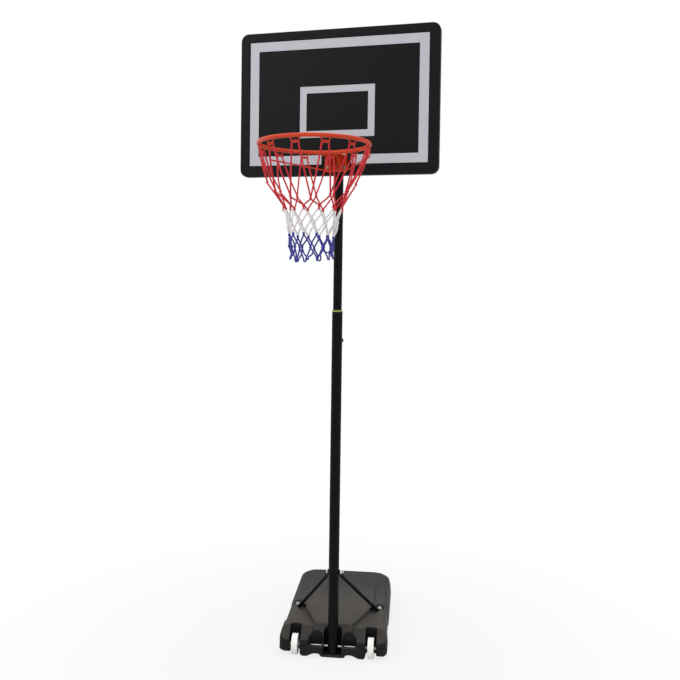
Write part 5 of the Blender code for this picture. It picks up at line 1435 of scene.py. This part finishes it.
def add_hooks(skin):
    """The wire hooks under the rod, with a spot of weld at each end of each."""
    root = HOOP_HEIGHT - HOOP_ROD_RADIUS * 0.6
    corners = [
        (-HOOK_ROOT_HALF_WIDTH, root), (-HOOK_BAR_HALF_WIDTH, HOOK_BAR_HEIGHT),
        (HOOK_BAR_HALF_WIDTH, HOOK_BAR_HEIGHT), (HOOK_ROOT_HALF_WIDTH, root),
    ]
    hook_line = filleted(corners, 0.005, steps=6)
    for hook in range(HOOK_COUNT):
        angle = hook_angle(hook)
        path = [about_hoop(angle + along_hoop(aside), HOOP_RADIUS, height) for aside, height in hook_line]
        skin.tube(path, HOOK_WIRE_RADIUS, sides=10)
        for side in (-1, 1):
            aside = along_hoop(side * (HOOK_ROOT_HALF_WIDTH - 0.0013))
            spot = about_hoop(angle + aside, HOOP_RADIUS, HOOP_HEIGHT - HOOP_ROD_RADIUS - GAP)
            skin.blob(spot, (0.0036, 0.0036, 0.0021))


def add_tongue_welds(skin, bead):
    """The beads that join the rod to the bracket's tongue, above and below it."""
    reach = HOOP_RADIUS + HOOP_ROD_RADIUS
    swing = math.degrees(math.asin(TONGUE_HALF_WIDTH / reach)) - 0.8
    for height in (HOOP_HEIGHT + 0.0006, HOOP_HEIGHT - TONGUE_SHEET - 0.0006):
        line = [about_hoop(180 + swing * step / 8, reach - GAP, height) for step in range(-8, 9)]
        weld_bead(skin, line, bead)


def make_hoop(context):
    """The hoop's ring with its welded wire hooks, its bracket and braces."""
    sizes = context.scene.hoop_stand_sizes
    enamel = enamel_finish(context.scene.hoop_stand_colours)
    skin = Skin()
    add_ring(skin)
    add_hooks(skin)
    add_tongue_welds(skin, sizes.weld_bead)
    piece("hoop_ring", skin, "upper", enamel, "orange_steel", ["rim_ring"])
    dress("rim_bracket", enamel, edge=sizes.edge_round)
    for label, side in SIDES:
        make_brace(label, side, enamel, sizes.weld_bead)


def make_brace(label, side, enamel, bead):
    """A round brace from under the hoop to the side of the bracket's plate, welded at both ends."""
    low = HOOP_HEIGHT - HOOP_ROD_RADIUS - GAP - BRACE_DROP
    elbow = about_hoop(side * BRACE_ANGLE, HOOP_RADIUS, low)
    foot = Vector((side * (PLATE_HALF_WIDTH + GAP + BRACE_RADIUS), PLATE_BACK_Y, PLATE_BOTTOM + 0.008))
    knee = foot - Vector((0, 0.012, 0))
    run = (knee - elbow).normalized()
    up = Vector((0, 0, 1))
    path = [
        elbow + up * 0.0335, elbow + up * 0.022, elbow + up * 0.012, elbow + up * 0.0045 + run * 0.0015,
        elbow + up * 0.001 + run * 0.0050, elbow + run * 0.012, elbow + (knee - elbow) * 0.5,
        knee - run * 0.010, knee - run * 0.003, knee + Vector((0, 0.003, 0)), foot,
    ]
    skin = Skin()
    skin.tube(smooth_path(path, 0.0025), BRACE_RADIUS, sides=16)
    skin.blob(elbow + up * 0.0325, (0.0046, 0.0046, 0.0026))
    seam = foot - Vector((side * BRACE_RADIUS * 0.75, 0, 0))
    weld_bead(skin, [seam + Vector((0, -0.009, 0.0024)), seam + Vector((0, -0.003, 0.0024))], bead * 0.6)
    piece("hoop_brace_" + label, skin, "upper", enamel, "orange_steel", ["rim_brace_" + label])


# Net

def outward(spot):
    """The level direction from the hoop's axis to a spot."""
    return (spot - Vector((0, HOOP_CENTRE_Y, spot.z))).normalized()


def net_knots(sizes, picker):
    """Where the knots hang, row by row, looser in the lower rows and bunched at one side."""
    bunch_angle, bunch_radius, bunch_drop = BUNCH
    bunch = about_hoop(bunch_angle, bunch_radius, HOOP_HEIGHT - bunch_drop)
    rows = []
    for row, (drop, radius) in enumerate(NET_ROWS):
        shift = 0.5 if row % 2 == 0 else 0.0
        loose = sizes.net_slack * ROW_SLACK[row]
        knots = []
        for column in range(HOOK_COUNT):
            if row == 0:
                drop, radius = TOP_KNOTS[column]
            angle = hook_angle(column + shift)
            near = max(0.0, 1 - abs((angle - bunch_angle + 180) % 360 - 180) / BUNCH_REACH)
            angle += math.degrees(picker.uniform(-1, 1) * loose / radius)
            reach = radius + picker.uniform(-1, 1) * loose
            height = HOOP_HEIGHT - drop + picker.uniform(-1, 1) * loose * 0.8
            spot = about_hoop(angle, reach, height).lerp(bunch, BUNCH_PULL[row] * near)
            knots.append(spot + Vector((ROW_LEAN[row], 0, 0)))
        rows.append(knots)
    return rows


def knot(skin, centre, radius, picker, size):
    """A knot: a turn and a half of cord wound round the crossing."""
    out = outward(centre)
    up = Vector((0, 0, 1))
    across = up.cross(out)
    phase = picker.uniform(0, math.tau)
    reach = radius * 1.02 * size
    path = []
    for step in range(KNOT_STEPS + 1):
        angle = phase + math.tau * KNOT_TURNS * step / KNOT_STEPS
        lift = (step / KNOT_STEPS - 0.5) * radius * 2.0 * size
        path.append(centre + across * reach * math.cos(angle) + out * reach * math.sin(angle) + up * lift)
    skin.tube(path, radius * 0.86, sides=9)


def strand(skin, start, end, radius, picker, slack):
    """A cord between two knots, slightly bowed, that leaves and enters them steeply."""
    steep = Vector((0, 0, 1)) * radius * 1.1
    middle = (start + end) / 2
    bow = outward(middle) * picker.uniform(-0.6, 1.0) * slack
    bow += Vector((picker.uniform(-1, 1), picker.uniform(-1, 1), 0)) * slack * 0.4
    skin.tube(smooth_path([start - steep, middle + bow, end + steep], 0.006), radius, sides=10)


def add_hook_cords(skin, top_row, radius, picker):
    """The net's top loops: each goes up from a knot, over a hook's bar, and down to the next knot."""
    step = HOOK_WIRE_RADIUS + radius + 0.0002
    steep = Vector((0, 0, radius * 0.8))
    over_hook = (
        (-0.0135, 1.0, -0.012), (-0.0122, 0.95, 0.0), (-0.0075, 0.3, step * 0.96), (0.0, 0.0, step),
        (0.0075, 0.3, step * 0.96), (0.0122, 0.95, 0.0), (0.0135, 1.0, -0.012),
    )
    for hook in range(HOOK_COUNT):
        angle = hook_angle(hook)
        start, end = top_row[(hook - 1) % HOOK_COUNT], top_row[hook]
        loop = [
            about_hoop(angle + along_hoop(aside), HOOP_RADIUS - step * inward, HOOK_BAR_HEIGHT + lift)
            for aside, inward, lift in over_hook
        ]
        sway = about_hoop(angle, 1.0, 0) - about_hoop(angle, 0.0, 0)
        bows = [sway * picker.uniform(0.001, 0.007) for _ in range(2)]
        rise = [start + steep, start.lerp(loop[0], 0.5) + bows[0]]
        fall = [end.lerp(loop[-1], 0.5) + bows[1], end + steep]
        skin.tube(smooth_path([*rise, *loop, *fall], 0.003), radius, sides=10)


def add_strands(skins, rows, radius, picker, slack):
    """The diamonds: two cords down from each knot to the row below, in that row's skin."""
    for row, skin in enumerate(skins, 1):
        shifted = row % 2 == 1
        for column, start in enumerate(rows[row - 1]):
            right = (column + 1) % HOOK_COUNT if shifted else column
            left = column if shifted else (column - 1) % HOOK_COUNT
            for other in (right, left):
                strand(skin, start, rows[row][other], radius, picker, slack * (0.3 + 0.2 * row))


def add_tails(skin, knots, radius, picker):
    """The cut ends that hang from the knots where the net changes colour."""
    for centre in knots:
        out = outward(centre)
        aside = Vector((picker.uniform(-1, 1), 0, 0)) * 0.003
        tail = centre + out * 0.0035 - Vector((0, 0, 0.012)) + aside
        path = [centre, centre.lerp(tail, 0.5) + out * 0.002, tail]
        skin.tube(smooth_path(path, 0.003), radius * 0.85, sides=9)


def add_foot_loops(skin, rows, radius, picker, slack):
    """Loose loops that hang from the last row of knots, each curled its own way."""
    knots, tips = rows[-2:]
    shifted = (len(rows) - 1) % 2 == 1
    steep = Vector((0, 0, radius * 1.1))
    raised = Vector((0, 0, 0.010))

    def stray(across, out):
        return across * picker.uniform(-1, 1) * slack * 0.6 + out * picker.uniform(-1, 1) * slack

    for column, start in enumerate(knots):
        after = knots[(column + 1) % HOOK_COUNT]
        tip = tips[(column + 1) % HOOK_COUNT if shifted else column]
        out = outward(tip)
        across = Vector((0, 0, 1)).cross(out)
        curl = out * picker.uniform(-1.6, 2.2) * slack
        wide = across * picker.uniform(0.002, 0.007)
        low = Vector((0, 0, 1)) * picker.uniform(-0.3, 1.6) * slack
        path = [
            start - steep,
            start.lerp(tip, 0.5) + stray(across, out),
            tip - wide + curl * 0.6 + low + raised,
            tip - wide * 0.6 + curl + low,
            tip + wide * 0.6 + curl * 1.1 + low,
            tip + wide + curl * 0.6 + low + raised,
            after.lerp(tip, 0.5) + stray(across, out),
            after - steep,
        ]
        skin.tube(smooth_path(path, 0.003), radius, sides=10)


def make_net(context):
    """The knotted net in three colours: loops on the hooks, diamonds, and loose loops at the foot."""
    colours = context.scene.hoop_stand_colours
    sizes = context.scene.hoop_stand_sizes
    picker = random.Random(sizes.net_seed)
    radius, slack = sizes.cord_radius, sizes.net_slack
    rows = net_knots(sizes, picker)
    top, middle, foot = Skin(), Skin(), Skin()
    add_hook_cords(top, rows[0], radius, picker)
    add_strands((top, middle, middle, foot), rows, radius, picker, slack)
    for row, skin in enumerate((top, top, middle, foot, foot)):
        for centre in rows[row]:
            knot(skin, centre, radius, picker, 1.0 if row else 0.9)
    add_tails(top, rows[1], radius, picker)
    add_foot_loops(foot, rows, radius, picker, slack)
    for name, skin, look in (
        ("net_top", top, cord_finish("Net cord, top", colours.net_top)),
        ("net_middle", middle, cord_finish("Net cord, middle", colours.net_middle)),
        ("net_foot", foot, cord_finish("Net cord, foot", colours.net_foot)),
    ):
        piece(name, skin, "upper", look, "net_cord", ["net"], sharp=180.0)


# Studio

def seen_rays(graph):
    """Rays from the camera, in gloss and through glass."""
    path = graph.add("ShaderNodeLightPath").outputs
    seen = graph.math("MAXIMUM", path["Is Camera Ray"], path["Is Glossy Ray"])
    return graph.math("MAXIMUM", seen, path["Is Transmission Ray"])


def emptied(owner):
    """The graph of a material or a world, with none of its usual nodes."""
    owner.use_nodes = True
    owner.node_tree.nodes.clear()
    return Graph(owner.node_tree)


def make_floor(scene):
    """A pale floor that keeps the stand's shadow and fades to white away from it."""
    size = FLOOR_HALF
    corners = [(-size, -size, 0), (size, -size, 0), (size, size, 0), (-size, size, 0)]
    mesh = bpy.data.meshes.new("studio_floor")
    mesh.from_pydata(corners, [], [(0, 1, 2, 3)])
    floor = bpy.data.objects.new("studio_floor", mesh)
    scene.collection.objects.link(floor)
    look = bpy.data.materials.new("Studio floor")
    graph = emptied(look)
    grey = (FLOOR_GREY, FLOOR_GREY, FLOOR_GREY, 1.0)
    paint = graph.add("ShaderNodeBsdfDiffuse", {"Color": grey}).outputs[0]
    where = graph.add("ShaderNodeTexCoord").outputs["Object"]
    away = graph.add("ShaderNodeVectorMath", {0: where}, operation="LENGTH").outputs["Value"]
    share = graph.remap(away, *FLOOR_FADE, FLOOR_GLOW)
    white = graph.add("ShaderNodeEmission", {"Color": WHITE, "Strength": 1.0}).outputs[0]
    factor = graph.math("MULTIPLY", seen_rays(graph), share)
    mixed = graph.add("ShaderNodeMixShader", {0: factor, 1: paint, 2: white}).outputs[0]
    graph.add("ShaderNodeOutputMaterial", {0: mixed})
    mesh.materials.append(look)


def make_world(scene, studio):
    """Soft light from all round, stronger from above, in front of a white background."""
    world = bpy.data.worlds.new("Studio")
    scene.world = world
    graph = emptied(world)
    sky = graph.add("ShaderNodeTexCoord").outputs["Generated"]
    up = graph.add("ShaderNodeSeparateXYZ", {0: sky}).outputs["Z"]
    level = graph.remap(up, 0.0, SKY_HEIGHT, studio.horizon, studio.sky)
    light = graph.add("ShaderNodeBackground", {0: WHITE, 1: level}).outputs[0]
    white = graph.add("ShaderNodeBackground", {0: WHITE, 1: 1.0}).outputs[0]
    mixed = graph.add("ShaderNodeMixShader", {0: seen_rays(graph), 1: light, 2: white}).outputs[0]
    graph.add("ShaderNodeOutputWorld", {0: mixed})


def make_lamps(scene, studio):
    """Soft lamps, each aimed at the middle of the stand."""
    for name, setting, width, spot in LAMPS:
        data = bpy.data.lights.new(name, "AREA")
        data.energy = getattr(studio, setting)
        data.size = width
        lamp = bpy.data.objects.new(name, data)
        scene.collection.objects.link(lamp)
        lamp.location = spot
        lamp.rotation_euler = (LAMP_AIM - Vector(spot)).to_track_quat("-Z", "Y").to_euler()


def make_stage(context):
    """Pale floor, soft lamps, white surroundings and the camera."""
    scene = context.scene
    studio = scene.hoop_stand_studio
    scene.view_settings.view_transform = "Standard"
    make_floor(scene)
    make_world(scene, studio)
    make_lamps(scene, studio)
    make_camera(scene, studio)


def make_camera(scene, studio):
    """The camera, turned by its yaw, pitch and roll."""
    data = bpy.data.cameras.new("picture_camera")
    data.sensor_width = SENSOR_WIDTH
    data.lens = studio.lens
    data.shift_x = studio.shift_x
    data.shift_y = studio.shift_y
    data.clip_end = CAMERA_REACH
    camera = bpy.data.objects.new("picture_camera", data)
    scene.collection.objects.link(camera)
    flat = math.cos(studio.pitch)
    forward = Vector((-math.sin(studio.yaw) * flat, math.cos(studio.yaw) * flat, math.sin(studio.pitch)))
    right = forward.cross(Vector((0, 0, 1))).normalized()
    up = right.cross(forward)
    turned_right = right * math.cos(studio.roll) + up * math.sin(studio.roll)
    turned_up = up * math.cos(studio.roll) - right * math.sin(studio.roll)
    turn = Matrix((turned_right, turned_up, -forward)).transposed().to_4x4()
    camera.matrix_world = Matrix.Translation(studio.place) @ turn
    scene.camera = camera


# Operators

class HOOP_OT_stage(bpy.types.Operator):
    """Make the pale floor, the lamps and the camera"""

    bl_idname = "hoop_stand.stage"
    bl_label = "Studio"
    bl_options = {"REGISTER", "UNDO"}

    def execute(self, context):
        make_stage(context)
        return {"FINISHED"}


class HOOP_OT_tank(bpy.types.Operator):
    """Make the moulded base tank"""

    bl_idname = "hoop_stand.tank"
    bl_label = "Base Tank"
    bl_options = {"REGISTER", "UNDO"}

    def execute(self, context):
        make_tank(context)
        return {"FINISHED"}


class HOOP_OT_wheels(bpy.types.Operator):
    """Make the wheels, their axle and its caps"""

    bl_idname = "hoop_stand.wheels"
    bl_label = "Wheels and Axle"
    bl_options = {"REGISTER", "UNDO"}

    def execute(self, context):
        make_wheels(context)
        return {"FINISHED"}


class HOOP_OT_filler(bpy.types.Operator):
    """Finish the filler plug, its gasket and the water"""

    bl_idname = "hoop_stand.filler"
    bl_label = "Filler"
    bl_options = {"REGISTER", "UNDO"}

    def execute(self, context):
        make_filler(context)
        return {"FINISHED"}


class HOOP_OT_poles(bpy.types.Operator):
    """Finish the pole tubes and make their bush and cap"""

    bl_idname = "hoop_stand.poles"
    bl_label = "Poles"
    bl_options = {"REGISTER", "UNDO"}

    def execute(self, context):
        make_poles(context)
        return {"FINISHED"}


class HOOP_OT_struts(bpy.types.Operator):
    """Make the two struts"""

    bl_idname = "hoop_stand.struts"
    bl_label = "Struts"
    bl_options = {"REGISTER", "UNDO"}

    def execute(self, context):
        make_struts(context)
        return {"FINISHED"}


class HOOP_OT_lock(bpy.types.Operator):
    """Make the height lock"""

    bl_idname = "hoop_stand.lock"
    bl_label = "Height Lock"
    bl_options = {"REGISTER", "UNDO"}

    def execute(self, context):
        make_lock(context)
        return {"FINISHED"}


class HOOP_OT_board(bpy.types.Operator):
    """Finish the board, its stripes and its saddles"""

    bl_idname = "hoop_stand.board"
    bl_label = "Board"
    bl_options = {"REGISTER", "UNDO"}

    def execute(self, context):
        make_board(context)
        return {"FINISHED"}


class HOOP_OT_hoop(bpy.types.Operator):
    """Make the hoop, its bracket and its braces"""

    bl_idname = "hoop_stand.hoop"
    bl_label = "Hoop"
    bl_options = {"REGISTER", "UNDO"}

    def execute(self, context):
        make_hoop(context)
        return {"FINISHED"}


class HOOP_OT_fasteners(bpy.types.Operator):
    """Make the bolts, nuts, washers and screws"""

    bl_idname = "hoop_stand.fasteners"
    bl_label = "Fasteners"
    bl_options = {"REGISTER", "UNDO"}

    def execute(self, context):
        make_fasteners(context)
        return {"FINISHED"}


class HOOP_OT_net(bpy.types.Operator):
    """Make the three-colour net"""

    bl_idname = "hoop_stand.net"
    bl_label = "Net"
    bl_options = {"REGISTER", "UNDO"}

    def execute(self, context):
        make_net(context)
        return {"FINISHED"}


OPERATORS = (
    HOOP_OT_stage, HOOP_OT_tank, HOOP_OT_wheels, HOOP_OT_filler, HOOP_OT_poles, HOOP_OT_struts,
    HOOP_OT_lock, HOOP_OT_board, HOOP_OT_hoop, HOOP_OT_fasteners, HOOP_OT_net,
)


class HOOP_PT_panel(bpy.types.Panel):
    """Lists the stand's operators and settings"""

    bl_idname = "HOOP_PT_panel"
    bl_label = "Basketball Stand"
    bl_space_type = "VIEW_3D"
    bl_region_type = "UI"
    bl_category = "Hoop Stand"

    def draw(self, context):
        scene = context.scene
        for operator in OPERATORS:
            self.layout.operator(operator.bl_idname)
        for settings in (scene.hoop_stand_sizes, scene.hoop_stand_colours, scene.hoop_stand_studio):
            box = self.layout.box()
            for name in settings.bl_rna.properties.keys():
                if name not in {"rna_type", "name"}:
                    box.prop(settings, name)


CLASSES = (HoopStandColours, HoopStandSizes, HoopStandStudio, *OPERATORS, HOOP_PT_panel)


def register():
    for made in CLASSES:
        bpy.utils.register_class(made)
    bpy.types.Scene.hoop_stand_colours = PointerProperty(type=HoopStandColours)
    bpy.types.Scene.hoop_stand_sizes = PointerProperty(type=HoopStandSizes)
    bpy.types.Scene.hoop_stand_studio = PointerProperty(type=HoopStandStudio)


def unregister():
    del bpy.types.Scene.hoop_stand_studio
    del bpy.types.Scene.hoop_stand_sizes
    del bpy.types.Scene.hoop_stand_colours
    for made in reversed(CLASSES):
        bpy.utils.unregister_class(made)


def main():
    register()
    bpy.ops.hoop_stand.stage()
    bpy.ops.hoop_stand.tank()
    bpy.ops.hoop_stand.wheels()
    bpy.ops.hoop_stand.filler()
    bpy.ops.hoop_stand.poles()
    bpy.ops.hoop_stand.struts()
    bpy.ops.hoop_stand.lock()
    bpy.ops.hoop_stand.board()
    bpy.ops.hoop_stand.hoop()
    bpy.ops.hoop_stand.fasteners()
    bpy.ops.hoop_stand.net()


if __name__ == "__main__":
    main()
